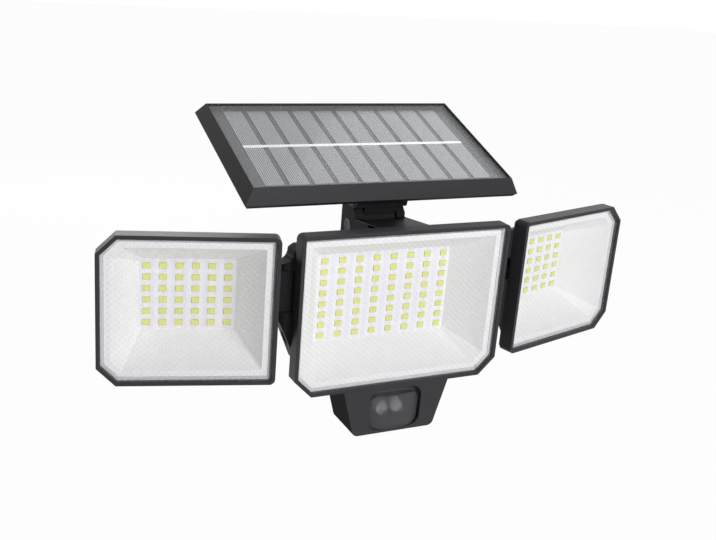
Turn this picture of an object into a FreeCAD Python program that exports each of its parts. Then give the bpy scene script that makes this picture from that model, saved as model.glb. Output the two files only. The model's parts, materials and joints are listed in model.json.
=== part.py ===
import FreeCAD, Part
import math
import os

# Motion sensor security light for a wall, run from a solar panel.
#
# All sizes are in millimetres. X points to the right of someone who faces the light, -Y points
# away from the wall, and +Z points up. The origin is the centre of the wall plate's back face.
# Depths are counted from the middle lamp's front face towards the wall.

# ---- Where the main axes lie ----
reach = 175.0                   # from the wall to the middle lamp's front face
panel_hinge_depth = 60.5        # axis on which the solar panel tilts
panel_hinge_height = 45.0
side_pin_x = 82.0               # upright pin that carries a side lamp
side_pin_depth = 18.3
side_turn = 15.0                # a side lamp's turn outwards at rest, in degrees
side_axle_height = 16.5         # axis on which a side lamp nods
panel_slope = 18.9              # the panel's slope at rest, in degrees

# ---- Clearances ----
gap = 0.3                       # between pieces that move past each other
running_gap = 0.05              # round a pin or axle, on the radius
slip_gap = 0.1                  # round a piece that drops into its place
overlap = 1.0                   # how far shapes that are joined or cut run into each other
right_through = 120.0           # length of a cutter that passes through everything in its way

# ---- Lamp outlines: width, height, and the corners from top left, clockwise ----
middle_width = 160.0
middle_height = 115.4
middle_cut = 13.0
side_width = 116.0
side_height = 102.4
side_cut = 12.4
corner_round = 4.0
smallest_leg = 1.0              # least corner that an inset leaves
side_lift = 6.5                 # a side lamp's centre above the middle lamp's centre
middle_corners = (("round", corner_round), ("round", corner_round), ("cut", middle_cut), ("cut", middle_cut))
side_corners = (("cut", side_cut), ("round", corner_round), ("round", corner_round), ("cut", side_cut))

# ---- Lamp build-up, as depths behind the front face ----
frame_wall = 2.7
frame_depth = 11.3
lens_recess = 1.7
lens_thickness = 2.0
seal_thickness = 0.6
seal_width = 2.2
ledge_thickness = 2.0
flange_width = 4.0
flange_thickness = 1.2
reflector_wall = 1.2
led_face_depth = 34.5
led_width = 5.2
led_height = 4.2
led_thickness = 0.8
board_thickness = 1.6
board_margin = 3.0
board_post_height = 4.0
board_post_radius = 3.0
board_room = 1.0                # round the LED board inside the housing
housing_wall = 2.0
shoulder_inset = 1.5
shoulder_thickness = 2.0
tub_inset = 5.0

# ---- LED grids ----
middle_columns = 8
middle_rows = 8
middle_pitch_x = 13.6
middle_pitch_z = 7.95
side_columns = 6
side_rows = 6
side_pitch_x = 10.8
side_pitch_z = 8.1
led_border = 2.7                # from the outer LEDs to the reflector's inner end
led_field_round = 2.0

# ---- Small screws ----
screw_radius = 1.2
screw_hole_radius = 1.25
screw_head_radius = 2.5
screw_head_height = 1.6
screw_boss_radius = 2.7
screw_slot_width = 0.7
screw_slot_depth = 0.7
screw_slot_half_length = 1.6
screw_head_room = 4.0           # free depth over a sunk head
frame_screw_inset = 4.4         # from the lamp's edge to a frame screw
frame_screw_length = 5.6
middle_frame_screw_x = 56.0
side_frame_screw_x = 38.0

# ---- Rear box of the middle lamp ----
box_half_width = 47.0
box_top = 29.0
box_bottom = -38.0
box_depth = 66.0                # depth of its open back
box_wall = 2.2
cover_seal_thickness = 0.6
cover_thickness = 3.0
cover_screw_inset = 5.6
cover_boss_radius = 3.6
cover_hole_depth = 12.0
cover_screw_length = 14.0

# ---- Neck and the panel's hinge ears ----
neck_half_width = 20.0
neck_front_height = 57.3
neck_back_height = 53.0
neck_back_depth = 46.5
neck_sink = 3.0                 # how far the neck reaches down into the rear box
ear_front = 11.9                # ear's front edge before the hinge axis
ear_back = 11.4
ear_rise = 14.8                 # ear's top above the hinge axis
ear_corner = 4.0
ear_back_drop = 7.0             # lower end of the ear's back edge, below the axis
ear_foot_rise = 1.0             # where the ear's back slope meets the rear box, above it
ear_thickness = 7.0
tongue_radius = 13.0
tongue_front = 6.0              # tongue's front face before the hinge axis
tongue_back = 13.0
tongue_room = 16.5              # free space before the hinge axis, between the ears
tongue_clearance = 1.2          # round the tongue's edge
panel_bolt_radius = 3.0
panel_bolt_head_radius = 5.0
panel_bolt_head_height = 3.0
panel_nut_depth = 4.6           # nut's seat below the left ear's face

# ---- Side hinges ----
fork_radius = 6.3
fork_top = 31.1                 # underside of the upper arm
fork_bottom = 2.0               # top of the lower arm
pin_radius = 2.5
pin_top = 35.6
pin_bottom = -14.0
axle_radius = 5.5
axle_bore_radius = 2.4
hub_radius = 8.0
pin_to_lamp = 6.9               # from the pin's axis to the side lamp's edge
axle_depth = 20.2               # axle's depth behind the side lamp's front face
clip_thickness = 1.0
clip_radius = 7.4
clip_mouth_half = 2.0
hub_length = 11.1
clip_room_depth = 8.0           # free space behind the hub for the axle's end
axle_length = 13.4              # from the side lamp's edge to the axle's inner end
groove_inset = 1.0              # from the axle's inner end to the clip's groove
groove_depth = 1.0
wing_root_x = -60.0
wing_top_line = ((-60.0, 47.5), (-77.0, 46.8), (-80.5, 44.3), (-80.9, 41.0), (-82.2, 38.2), (-85.2, 36.1))
wing_tip_top = 35.0
wing_tip_bottom = -3.9
wing_foot_line = ((-75.5, -34.8), (-60.0, -40.0))

# ---- Motion sensor ----
sensor_face_depth = 1.0
sensor_back_depth = 34.5
sensor_top_half_width = 42.0
sensor_bottom_half_width = 32.0
sensor_bottom = -94.0
sensor_round = 5.0
sensor_wall = 2.2
window_half_width = 20.5
window_top = -60.0
window_bottom = -91.5
window_round = 8.0
eye_radius = 48.0               # curve of the sensor's cover
eye_proud = 0.8
eye_top = -65.0
eye_wall = 1.4
detector_spacing = 12.4
detector_radius = 4.6
detector_height = -79.0
detector_front_depth = 10.0
detector_length = 5.0
detector_rim = 0.6
detector_eye_half_width = 2.0
detector_eye_half_height = 1.5
detector_eye_depth = 0.3
sensor_top = -30.0              # where the housing meets the middle lamp's underside
sensor_post_x = 17.0
sensor_post_heights = (-87.0, -70.0)
sensor_post_radius = 2.2
sensor_board_half_width = 20.0
sensor_board_bottom = -90.0
sensor_board_top = -67.0
sensor_boss_radius = 3.8
sensor_boss_bottom = -64.0
sensor_boss_height = 30.0
sensor_hole_bottom = -62.0
sensor_link_width = 4.0
sensor_screw_x = 30.0
sensor_screw_depth = 27.0
sensor_screw_length = 13.0
sensor_pad_height = -43.5
sensor_pad_thickness = 5.5
sensor_pad_radius = 4.2
eye_flange_depth = 3.4          # from the window's inner edge to the cover's flange
eye_flange_margin = 2.0

# ---- Solar panel, in its own frame: top face at z = 0 ----
panel_length = 203.4
panel_width = 113.3
panel_flare = 5.7
panel_tray_height = 10.84
panel_lip_height = 3.0
panel_rim = 1.0
glass_recess = 1.7
glass_thickness = 2.2
ribbon_thickness = 0.3
ribbon_width = 3.0
cell_thickness = 0.4
cell_count = 10
cell_pitch = 18.3
cell_width = 14.4
cell_length = 100.2
cell_shift = 1.8
backing_thickness = 1.4
deck_thickness = 2.0
panel_screw_inset_x = 9.7
panel_screw_inset_y = 8.65
panel_boss_radius = 3.4
panel_hole_depth = 3.2
panel_head_recess = 1.8
panel_cover_inset = 0.6         # the back cover's edge inside the tray's
panel_cover_draft = 1.6
foot_screw_x = 15.0
foot_screw_y = 22.0             # behind the hinge axis
foot_head_recess = 4.0
foot_screw_grip = 2.4
foot_half_width = 20.0
foot_height = 8.5
foot_front = 7.2                # foot's front face before the hinge axis
foot_back = 27.0
panel_hinge_y = -47.0           # hinge axis in the panel's own frame
panel_hinge_z = -41.7

# ---- Wall plate and arm ----
plate_drop = 46.0               # the plate's centre below the middle lamp's centre
plate_width = 90.0
plate_height = 56.0
plate_thickness = 6.0
plate_round = 8.0
plate_hole_radius = 2.6
plate_hole_spacing_x = 70.0
plate_hole_spacing_z = 36.0
arm_root_width = 42.0
arm_root_height = 38.0
wall_hinge_room = 14.4          # from the back cover to the axis on which the whole light tilts
arm_end_room = 16.0             # from that axis to the floor of the arm's fork
arm_wall = 3.0
wall_ear_radius = 12.0
wall_ear_thickness = 7.0
wall_tongue_half_width = 8.0
wall_bolt_radius = 3.0
wall_bolt_head_radius = 5.2
wall_bolt_head_height = 3.6
wall_tongue_radius = 11.5
bolt_nut_room = 6.0             # bolt beyond the ears, under its nut
bolt_slot_half_width = 0.6
nut_thickness_ratio = 1.6       # a nut's thickness and width, in bolt radii
nut_width_ratio = 3.4

# ---- Electronics in the rear box ----
control_board_inset = 10.0      # inside the rear box, at each end
standoff_radius = 2.4
standoff_inset = 3.0
control_board_bottom = 3.0
control_board_top = 25.0
control_board_standoff = 3.2
cell_radius = 9.1
cell_body_length = 65.0
holder_wall = 2.0
holder_end_room = 1.2
cell_button_radius = 2.8
cell_button_height = 0.9
wire_hole_radius = 4.0
wire_hole_height = 15.0
battery_pitch = 18.8
lower_battery_height = -26.5
button_inset = 17.0             # from the rear box's end
button_height = 14.0
button_radius = 6.0
button_proud = 1.5
button_travel = 1.2
button_edge = 0.6               # rounding of the cap's rim
stem_grip = 1.0                 # how far the stem reaches into the switch
stem_room = 1.5                 # free depth beyond the travel
button_flange_radius = 7.4
button_flange_thickness = 1.2
stem_radius = 1.7
switch_width = 6.0
switch_height = 3.5
parts_height = 17.0             # centre of the coil and the capacitor
coil_x = -12.0
coil_radius = 5.0
coil_height = 6.0
capacitor_x = 2.0
capacitor_radius = 4.0
capacitor_height = 9.0
chip_box = (10.0, 17.0, 10.0, 19.0, 1.8)        # left, right, low, high, height over the board
driver_box = (-28.0, -22.0, 9.0, 14.0, 1.6)
socket_starts = (-20.0, -6.0, 8.0)
socket_width = 8.0
socket_length = 4.4
socket_height = 5.0
socket_inset = 0.6

Vector = FreeCAD.Vector
origin = Vector(0, 0, 0)
along_x = Vector(1, 0, 0)
along_y = Vector(0, 1, 0)
along_z = Vector(0, 0, 1)


# ---- Plain shapes ----
def block(x0, x1, y0, y1, z0, z1):
    """Box between two corners."""
    return Part.makeBox(x1 - x0, y1 - y0, z1 - z0, Vector(x0, y0, z0))


def rod(x, y, z, axis, radius, length):
    """Cylinder that starts at a point and runs along an axis."""
    return Part.makeCylinder(radius, length, Vector(x, y, z), axis)


def prism(points, direction):
    """Straight solid with a polygon for its section."""
    return Part.Face(Part.makePolygon(points + [points[0]])).extrude(direction)


def side_prism(profile, x0, x1):
    """Solid between two X planes, from a side view of (depth, height) points."""
    points = [Vector(x0, depth, height) for depth, height in profile]
    return prism(points, Vector(x1 - x0, 0, 0))


def front_prism(profile, y0, y1):
    """Solid between two depths, from a front view of (x, height) points."""
    points = [Vector(x, y0, height) for x, height in profile]
    return prism(points, Vector(0, y1 - y0, 0))


def joined(shapes):
    """One shape out of several that touch or overlap."""
    return shapes[0].multiFuse(shapes[1:]).removeSplitter()


def without(shape, tools):
    """A shape with others cut out of it."""
    for tool in tools:
        shape = shape.cut(tool)
    return shape


def turned(shape, degrees, axis, centre=origin):
    """A copy turned about an axis."""
    copy = shape.copy()
    copy.rotate(centre, axis, degrees)
    return copy


def moved(shape, x, y, z):
    """A copy moved by an offset."""
    copy = shape.copy()
    copy.translate(Vector(x, y, z))
    return copy


# ---- Outlines of a lamp ----
def outline(width, height, corners, inset, depth):
    """Closed wire of a lamp's outline at a depth, drawn in by an inset all round."""
    half_width = width / 2 - inset
    half_height = height / 2 - inset
    signs = ((-1, 1), (1, 1), (1, -1), (-1, -1))
    starts = []
    ends = []
    corner_edges = []
    for (side, up), (kind, size) in zip(signs, corners):
        shrink = 2 - math.sqrt(2) if kind == "cut" else 1
        leg = max(size - inset * shrink, smallest_leg)
        on_side = Vector(side * half_width, depth, up * (half_height - leg))
        on_level = Vector(side * (half_width - leg), depth, up * half_height)
        start, end = (on_side, on_level) if side == -up else (on_level, on_side)
        if kind == "cut":
            corner_edges.append(Part.LineSegment(start, end).toShape())
        else:
            pull = leg * (1 - math.sqrt(0.5))
            middle = Vector(side * (half_width - pull), depth, up * (half_height - pull))
            corner_edges.append(Part.Arc(start, middle, end).toShape())
        starts.append(start)
        ends.append(end)
    edges = []
    for index in range(4):
        edges.append(corner_edges[index])
        edges.append(Part.LineSegment(ends[index], starts[(index + 1) % 4]).toShape())
    return Part.Wire(edges)


def slab(width, height, corners, inset, front, back):
    """Plate with a lamp's outline between two depths."""
    face = Part.Face(outline(width, height, corners, inset, front))
    return face.extrude(Vector(0, back - front, 0))


def taper(front_wire, back_wire):
    """Solid between two outlines at different depths."""
    return Part.makeLoft([front_wire, back_wire], True, True)


# Depths that follow from the build-up.
lens_back = lens_recess + lens_thickness
ledge_front = lens_back + seal_thickness
ledge_back = ledge_front + ledge_thickness
ledge_inset = frame_wall + seal_width
flange_inset = ledge_inset + slip_gap
mouth_inset = flange_inset + flange_width
board_front = led_face_depth + led_thickness
board_back = board_front + board_thickness
tub_floor = board_back + board_post_height
tub_back = tub_floor + housing_wall
shoulder_front = frame_depth + slip_gap
shoulder_back = shoulder_front + shoulder_thickness
cover_front = box_depth + cover_seal_thickness
cover_back = cover_front + cover_thickness
detector_back = detector_front_depth + detector_length
wall_hinge_depth = cover_back + wall_hinge_room


class Lamp:
    """Sizes of one lamp, with its LED grid and what follows from it."""

    def __init__(self, width, height, corners, columns, rows, pitch_x, pitch_z, screw_spots):
        self.size = (width, height, corners)
        self.columns = columns
        self.rows = rows
        self.pitch_x = pitch_x
        self.pitch_z = pitch_z
        self.inner_width = (columns - 1) * pitch_x + led_width + 2 * led_border
        self.inner_height = (rows - 1) * pitch_z + led_height + 2 * led_border
        self.inner_corners = tuple((kind, led_field_round) for kind, size in corners)
        edge = height / 2 - frame_screw_inset
        self.screw_spots = [(x, up * edge) for x in screw_spots for up in (-1, 1)]

    def ring(self, outer_inset, inner_inset, front, back):
        """Frame-shaped plate between two insets and two depths."""
        outer = slab(*self.size, outer_inset, front, back)
        return outer.cut(slab(*self.size, inner_inset, front, back))

    def inner_outline(self, margin, depth):
        """Outline round the LED field, grown by a margin."""
        return outline(self.inner_width, self.inner_height, self.inner_corners, -margin, depth)


def front_frame(lamp):
    """Dark frame round the lens, with the ledge that carries it and bosses for its screws."""
    wall = lamp.ring(0, frame_wall, 0, frame_depth)
    ledge = lamp.ring(frame_wall, ledge_inset, ledge_front, ledge_back)
    bosses = [rod(x, ledge_back, z, along_y, screw_boss_radius, frame_depth - ledge_back)
              for x, z in lamp.screw_spots]
    holes = [rod(x, ledge_back + overlap, z, along_y, screw_hole_radius, frame_depth)
             for x, z in lamp.screw_spots]
    return without(joined([wall, ledge] + bosses), holes)


def lens(lamp):
    """Clear plate that drops into the frame."""
    return slab(*lamp.size, frame_wall + slip_gap, lens_recess, lens_back)


def lens_seal(lamp):
    """Grey gasket between the lens and the frame's ledge."""
    return lamp.ring(frame_wall + slip_gap, ledge_inset, lens_back, ledge_front)


def reflector(lamp):
    """White tray whose walls slope in from the lens to the LED board."""
    mouth_depth = ledge_front + flange_thickness
    outer = taper(outline(*lamp.size, mouth_inset - reflector_wall, ledge_front),
                  lamp.inner_outline(reflector_wall, board_front))
    inner = taper(outline(*lamp.size, mouth_inset, ledge_front), lamp.inner_outline(0, board_front))
    flange = lamp.ring(flange_inset, mouth_inset - reflector_wall / 2, ledge_front, mouth_depth)
    return joined([outer, flange]).cut(inner)


def led_board(lamp):
    """Board behind the reflector's open end."""
    half_width = lamp.inner_width / 2 + board_margin
    half_height = lamp.inner_height / 2 + board_margin
    return block(-half_width, half_width, board_front, board_back, -half_height, half_height)


def leds(lamp):
    """Grid of LED packages on the board."""
    packages = []
    for column in range(lamp.columns):
        x = (column - (lamp.columns - 1) / 2) * lamp.pitch_x
        for row in range(lamp.rows):
            z = (row - (lamp.rows - 1) / 2) * lamp.pitch_z
            packages.append(block(x - led_width / 2, x + led_width / 2, led_face_depth, board_front,
                                  z - led_height / 2, z + led_height / 2))
    return Part.makeCompound(packages)


def frame_screws(lamp):
    """Screws that come from behind, through the housing, into the frame."""
    screw = pan_screw(shoulder_back - frame_screw_length, shoulder_back)
    return Part.makeCompound([moved(screw, x, 0, z) for x, z in lamp.screw_spots])


def pan_screw(tip, seat):
    """Screw along Y with its tip at one depth and its head's seat at another, facing the wall."""
    shank = rod(0, tip, 0, along_y, screw_radius, seat - tip)
    head = rod(0, seat, 0, along_y, screw_head_radius, screw_head_height)
    top = seat + screw_head_height
    long = screw_slot_half_length
    narrow = screw_slot_width / 2
    slots = [block(-long, long, top - screw_slot_depth, top, -narrow, narrow),
             block(-narrow, narrow, top - screw_slot_depth, top, -long, long)]
    return without(joined([shank, head]), slots)


def tub_outside(lamp):
    """Outer volume of the housing behind its shoulder."""
    margin = board_margin + board_room + housing_wall
    return taper(outline(*lamp.size, tub_inset, shoulder_front), lamp.inner_outline(margin, tub_back))


def tub_inside(lamp):
    """Inner volume of the housing."""
    front = ledge_back + slip_gap
    slope_start = tub_inset + housing_wall
    straight = slab(*lamp.size, slope_start, front, shoulder_back)
    sloping = taper(outline(*lamp.size, slope_start, shoulder_front),
                    lamp.inner_outline(board_margin + board_room, tub_floor))
    return joined([straight, sloping])


def tub_trim(lamp):
    """Rim that slips into the frame, with the shoulder behind it."""
    rim = lamp.ring(frame_wall + slip_gap, tub_inset + housing_wall, ledge_back + slip_gap, shoulder_back)
    shoulder = lamp.ring(shoulder_inset, tub_inset + housing_wall, shoulder_front, shoulder_back)
    sockets = [rod(x, 0, z, along_y, screw_boss_radius + gap, shoulder_front) for x, z in lamp.screw_spots]
    return without(joined([rim, shoulder]), sockets)


def board_posts(lamp):
    """Four posts that carry the LED board."""
    x = lamp.inner_width / 2 - board_post_radius
    z = lamp.inner_height / 2 - board_post_radius
    return [rod(side * x, board_back, up * z, along_y, board_post_radius, board_post_height + overlap)
            for side in (-1, 1) for up in (-1, 1)]


def screw_passages(lamp):
    """Holes in the shoulder for the frame screws, with room for their heads."""
    shanks = [rod(x, 0, z, along_y, screw_hole_radius, shoulder_back + overlap) for x, z in lamp.screw_spots]
    heads = [rod(x, shoulder_back, z, along_y, screw_head_radius + gap, screw_head_height + screw_head_room)
             for x, z in lamp.screw_spots]
    return shanks + heads


middle = Lamp(middle_width, middle_height, middle_corners, middle_columns, middle_rows,
              middle_pitch_x, middle_pitch_z, (-middle_frame_screw_x, middle_frame_screw_x))
side = Lamp(side_width, side_height, side_corners, side_columns, side_rows,
            side_pitch_x, side_pitch_z, (-side_frame_screw_x, side_frame_screw_x))


# ---- Wall plate and its arm ----
def wall_plate():
    """Plate on the wall with a hollow arm that ends in the two ears of the lower hinge."""
    half_width = plate_width / 2
    half_height = plate_height / 2
    front = -plate_thickness
    plate = block(-half_width, half_width, front, 0, -half_height, half_height)
    upright = [edge for edge in plate.Edges if abs(edge.Length - plate_thickness) < 0.001]
    plate = plate.makeFillet(plate_round, upright)
    hinge_y = wall_hinge_depth - reach
    arm_end = hinge_y + arm_end_room
    ear_out = wall_tongue_half_width + gap + wall_ear_thickness
    root = rectangle(arm_root_width / 2, arm_root_height / 2, front, 0)
    tip = rectangle(ear_out, wall_ear_radius, arm_end, plate_drop)
    root_inside = rectangle(arm_root_width / 2 - arm_wall, arm_root_height / 2 - arm_wall, overlap, 0)
    tip_inside = rectangle(ear_out - arm_wall, wall_ear_radius - arm_wall, arm_end + arm_wall, plate_drop)
    arm = joined([plate, taper(root, tip)]).cut(taper(root_inside, tip_inside))
    low = plate_drop - wall_ear_radius
    high = plate_drop + wall_ear_radius
    ears = joined([rod(-ear_out, hinge_y, plate_drop, along_x, wall_ear_radius, 2 * ear_out),
                   block(-ear_out, ear_out, hinge_y, arm_end + overlap, low, high)])
    room = wall_tongue_half_width + gap
    fork_floor = block(-room, room, hinge_y - 2 * wall_ear_radius, arm_end,
                       low - wall_ear_radius, high + wall_ear_radius)
    bore = cross_bore(hinge_y, plate_drop, wall_bolt_radius)
    hole_spots = [(side_sign * plate_hole_spacing_x / 2, up * plate_hole_spacing_z / 2)
                  for side_sign in (-1, 1) for up in (-1, 1)]
    holes = [rod(x, front - overlap, z, along_y, plate_hole_radius, plate_thickness + 2 * overlap)
             for x, z in hole_spots]
    return without(joined([arm, ears]), [fork_floor, bore] + holes)


def cross_bore(y, z, radius):
    """Bore along X for a bolt that turns in it."""
    return rod(-right_through / 2, y, z, along_x, radius + running_gap, right_through)


def rectangle(half_width, half_height, y, height):
    """Closed upright rectangle round a centre at a height."""
    corners = [Vector(-half_width, y, height + half_height), Vector(half_width, y, height + half_height),
               Vector(half_width, y, height - half_height), Vector(-half_width, y, height - half_height)]
    return Part.makePolygon(corners + [corners[0]])


def hexagon(x, y, z, across, thickness):
    """Six-sided nut blank along X, by its width across flats."""
    corner_radius = across / math.sqrt(3)
    points = [Vector(x, y + corner_radius * math.cos(math.radians(60 * step)),
                     z + corner_radius * math.sin(math.radians(60 * step))) for step in range(6)]
    return prism(points, Vector(thickness, 0, 0))


def cross_bolt(y, z, tip, half_grip, radius, head_radius, head_height):
    """Bolt along X with a domed, slotted head on the right and its tip on the left."""
    shank = rod(tip, y, z, along_x, radius, half_grip - tip)
    head = rod(half_grip, y, z, along_x, head_radius, head_height)
    rim = [edge for edge in head.Edges if abs(edge.CenterOfMass.x - half_grip - head_height) < 0.001]
    head = head.makeFillet(head_height / 2, rim)
    slot = block(half_grip + head_height / 2, half_grip + head_height + overlap, y - bolt_slot_half_width,
                 y + bolt_slot_half_width, z - 2 * head_radius, z + 2 * head_radius)
    return joined([shank, head]).cut(slot)


def nut_blank(y, z, seat, radius, room):
    """Six-sided block of a bolt's nut, whose right face lies on its seat, grown by some room."""
    thickness = nut_thickness_ratio * radius + room
    return hexagon(seat - thickness, y, z, nut_width_ratio * radius + 2 * room, thickness)


def cross_nut(y, z, seat, radius):
    """Nut on the left end of a cross bolt."""
    bore = rod(seat - right_through / 2, y, z, along_x, radius, right_through)
    return nut_blank(y, z, seat, radius, 0).cut(bore)


# ---- Middle housing ----
def wing():
    """Fork on the left of the middle housing: an upper and a lower arm for the upright pin."""
    tip_x = -side_pin_x - fork_radius
    front = shoulder_front
    back = side_pin_depth + fork_radius
    upper = list(wing_top_line) + [(tip_x, wing_tip_top), (tip_x, fork_top), (wing_root_x, fork_top)]
    fork_side = [(wing_root_x, fork_bottom), (tip_x, fork_bottom), (tip_x, wing_tip_bottom)]
    lower = fork_side + list(wing_foot_line)
    arms = joined([front_prism(upper, front, back), front_prism(lower, front, back)])
    tall = right_through / 2
    nose = joined([rod(-side_pin_x, side_pin_depth, -tall, along_z, fork_radius, right_through),
                   block(-side_pin_x + gap, 0, front, back, -tall, tall)])
    return arms.common(nose)


def neck():
    """Pedestal over the middle housing with the two ears of the panel's hinge."""
    foot = box_top - neck_sink
    front = panel_hinge_depth - ear_front
    back = panel_hinge_depth + ear_back
    top = panel_hinge_height + ear_rise
    profile = [(shoulder_front, neck_front_height), (neck_back_depth, neck_back_height),
               (front, neck_back_height), (front, top - ear_corner), (front + ear_corner, top), (back, top),
               (back, panel_hinge_height - ear_back_drop), (box_depth, box_top + ear_foot_rise),
               (box_depth, foot), (shoulder_front, foot)]
    return side_prism(profile, -neck_half_width, neck_half_width)


panel_nut_seat = panel_nut_depth - neck_half_width


def tongue_space():
    """Free space between the ears, in which the panel's tongue turns."""
    room = neck_half_width - ear_thickness
    swing_radius = tongue_radius + tongue_clearance
    swing = rod(-room, panel_hinge_depth, panel_hinge_height, along_x, swing_radius, 2 * room)
    behind_ears = panel_hinge_depth + ear_back + overlap
    above = block(-room, room, panel_hinge_depth - tongue_room, behind_ears,
                  panel_hinge_height, panel_hinge_height + ear_rise + overlap)
    behind = block(-room, room, panel_hinge_depth, behind_ears,
                   panel_hinge_height - swing_radius, panel_hinge_height + overlap)
    return joined([swing, above, behind])


button_x = box_half_width - button_inset
control_board_half_width = box_half_width - control_board_inset
cover_screw_spots = [(side_sign * (box_half_width - cover_screw_inset), z) for side_sign in (-1, 1)
                     for z in (box_bottom + cover_screw_inset, box_top - cover_screw_inset)]


def box_inside():
    """Free space in the rear box."""
    return block(-box_half_width + box_wall, box_half_width - box_wall, tub_back, box_depth + overlap,
                 box_bottom + box_wall, box_top - box_wall)


def rear_box():
    """Open box on the housing's back that holds the cells and the control board."""
    outside = block(-box_half_width, box_half_width, tub_back - overlap, box_depth, box_bottom, box_top)
    posts = [rod(x, tub_back - overlap, z, along_y, cover_boss_radius, box_depth - tub_back + overlap)
             for x, z in cover_screw_spots]
    standoffs = [rod(x, tub_back - overlap, z, along_y, standoff_radius, control_board_standoff + overlap)
                 for x in (-button_x, button_x)
                 for z in (control_board_bottom + standoff_inset, control_board_top - standoff_inset)]
    return joined([outside.cut(box_inside())] + posts + standoffs)


def middle_housing():
    """Rear shell of the middle lamp, with the neck, both forks and the rear box."""
    left_wing = wing()
    shell = joined([tub_outside(middle), left_wing, left_wing.mirror(origin, along_x), neck()])
    shell = shell.cut(tub_inside(middle))
    pad_bottom = sensor_pad_height - sensor_pad_thickness
    pad_rods = [rod(side_sign * sensor_screw_x, sensor_screw_depth, pad_bottom, along_z, sensor_pad_radius,
                    sensor_pad_thickness) for side_sign in (-1, 1)]
    pads = [pad.common(tub_outside(middle)) for pad in pad_rods]
    head_rooms = [rod(side_sign * sensor_screw_x, sensor_screw_depth, sensor_pad_height, along_z,
                      screw_head_radius + gap, screw_head_room) for side_sign in (-1, 1)]
    neck_over_box = shell.cut(box_inside())
    body = joined([neck_over_box, rear_box(), tub_trim(middle)] + board_posts(middle) + pads)
    bolt_bore = cross_bore(panel_hinge_depth, panel_hinge_height, panel_bolt_radius)
    pin_start = wing_foot_line[-1][1]
    pins = [rod(side_sign * side_pin_x, side_pin_depth, pin_start, along_z, pin_radius + running_gap,
                pin_top + gap - pin_start) for side_sign in (-1, 1)]
    knuckle_rooms = [rod(side_sign * side_pin_x, side_pin_depth, fork_bottom, along_z, fork_radius,
                         fork_top - fork_bottom) for side_sign in (-1, 1)]
    cover_holes = [rod(x, box_depth - cover_hole_depth, z, along_y, screw_hole_radius,
                       cover_hole_depth + overlap) for x, z in cover_screw_spots]
    sensor_hole_length = middle_height / 2 + sensor_pad_height + overlap
    sensor_holes = [rod(side_sign * sensor_screw_x, sensor_screw_depth, -middle_height / 2, along_z,
                        screw_hole_radius, sensor_hole_length) for side_sign in (-1, 1)]
    wire_hole = rod(0, tub_floor - overlap, wire_hole_height, along_y, wire_hole_radius,
                    housing_wall + 2 * overlap)
    nut_pocket = nut_blank(panel_hinge_depth, panel_hinge_height, panel_nut_seat, panel_bolt_radius,
                           slip_gap)
    tools = [tongue_space(), bolt_bore, nut_pocket, wire_hole] + pins + knuckle_rooms + cover_holes
    tools += sensor_holes + head_rooms + screw_passages(middle)
    return without(body, tools)


def back_cover():
    """Cover of the rear box, with the tongue of the lower hinge and the hole for the mode button."""
    plate = block(-box_half_width, box_half_width, cover_front, cover_back, box_bottom, box_top)
    half_width = wall_tongue_half_width
    tongue = joined([rod(-half_width, wall_hinge_depth, 0, along_x, wall_tongue_radius, 2 * half_width),
                     block(-half_width, half_width, cover_back - overlap, wall_hinge_depth,
                           -wall_tongue_radius, wall_tongue_radius)])
    bore = cross_bore(wall_hinge_depth, 0, wall_bolt_radius)
    cut_front = cover_front - overlap
    cut_length = cover_thickness + 2 * overlap
    button_hole = rod(button_x, cut_front, button_height, along_y, button_radius + gap, cut_length)
    holes = [rod(x, cut_front, z, along_y, screw_hole_radius + slip_gap, cut_length)
             for x, z in cover_screw_spots]
    return without(joined([plate, tongue]), [bore, button_hole] + holes)


def cover_seal():
    """Rubber gasket under the back cover."""
    outside = block(-box_half_width, box_half_width, box_depth, cover_front, box_bottom, box_top)
    inside = block(-box_half_width + box_wall, box_half_width - box_wall, box_depth - overlap,
                   cover_front + overlap, box_bottom + box_wall, box_top - box_wall)
    return outside.cut(inside)


def cover_screws():
    """Four screws that hold the back cover."""
    screw = pan_screw(cover_back - cover_screw_length, cover_back)
    return Part.makeCompound([moved(screw, x, 0, z) for x, z in cover_screw_spots])


# ---- Electronics ----
holder_front = tub_back
cell_axis_depth = holder_front + holder_wall + cell_radius + slip_gap
battery_heights = (lower_battery_height, lower_battery_height + battery_pitch)
board_face = tub_back + control_board_standoff
board_rear = board_face + board_thickness


def battery_cells():
    """Two rechargeable cells side by side."""
    start = -cell_body_length / 2
    cells = []
    for height in battery_heights:
        body = rod(start, cell_axis_depth, height, along_x, cell_radius, cell_body_length)
        button = rod(-start, cell_axis_depth, height, along_x, cell_button_radius, cell_button_height)
        cells.append(joined([body, button]))
    return Part.makeCompound(cells)


def battery_holder():
    """Tray with end walls round the cells."""
    inside = cell_body_length / 2 + holder_end_room
    outside = inside + holder_wall
    low = battery_heights[0] - cell_radius
    high = battery_heights[1] + cell_radius
    floor = block(-outside, outside, holder_front, holder_front + holder_wall, low, high)
    ends = [block(x0, x0 + holder_wall, holder_front, cell_axis_depth, low, high)
            for x0 in (-outside, inside)]
    return joined([floor] + ends)


def control_board():
    """Circuit board of the charger, the sensor logic and the LED driver."""
    return block(-control_board_half_width, control_board_half_width, board_face, board_rear,
                 control_board_bottom, control_board_top)


def control_parts():
    """Coil, capacitor and chips on the control board."""
    coil = rod(coil_x, board_rear, parts_height, along_y, coil_radius, coil_height)
    capacitor = rod(capacitor_x, board_rear, parts_height, along_y, capacitor_radius, capacitor_height)
    chips = [block(left, right, board_rear, board_rear + height, low, high)
             for left, right, low, high, height in (chip_box, driver_box)]
    foot = control_board_bottom + socket_inset
    sockets = [block(x, x + socket_width, board_rear, board_rear + socket_height, foot, foot + socket_length)
               for x in socket_starts]
    return Part.makeCompound([coil, capacitor] + chips + sockets)


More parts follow.
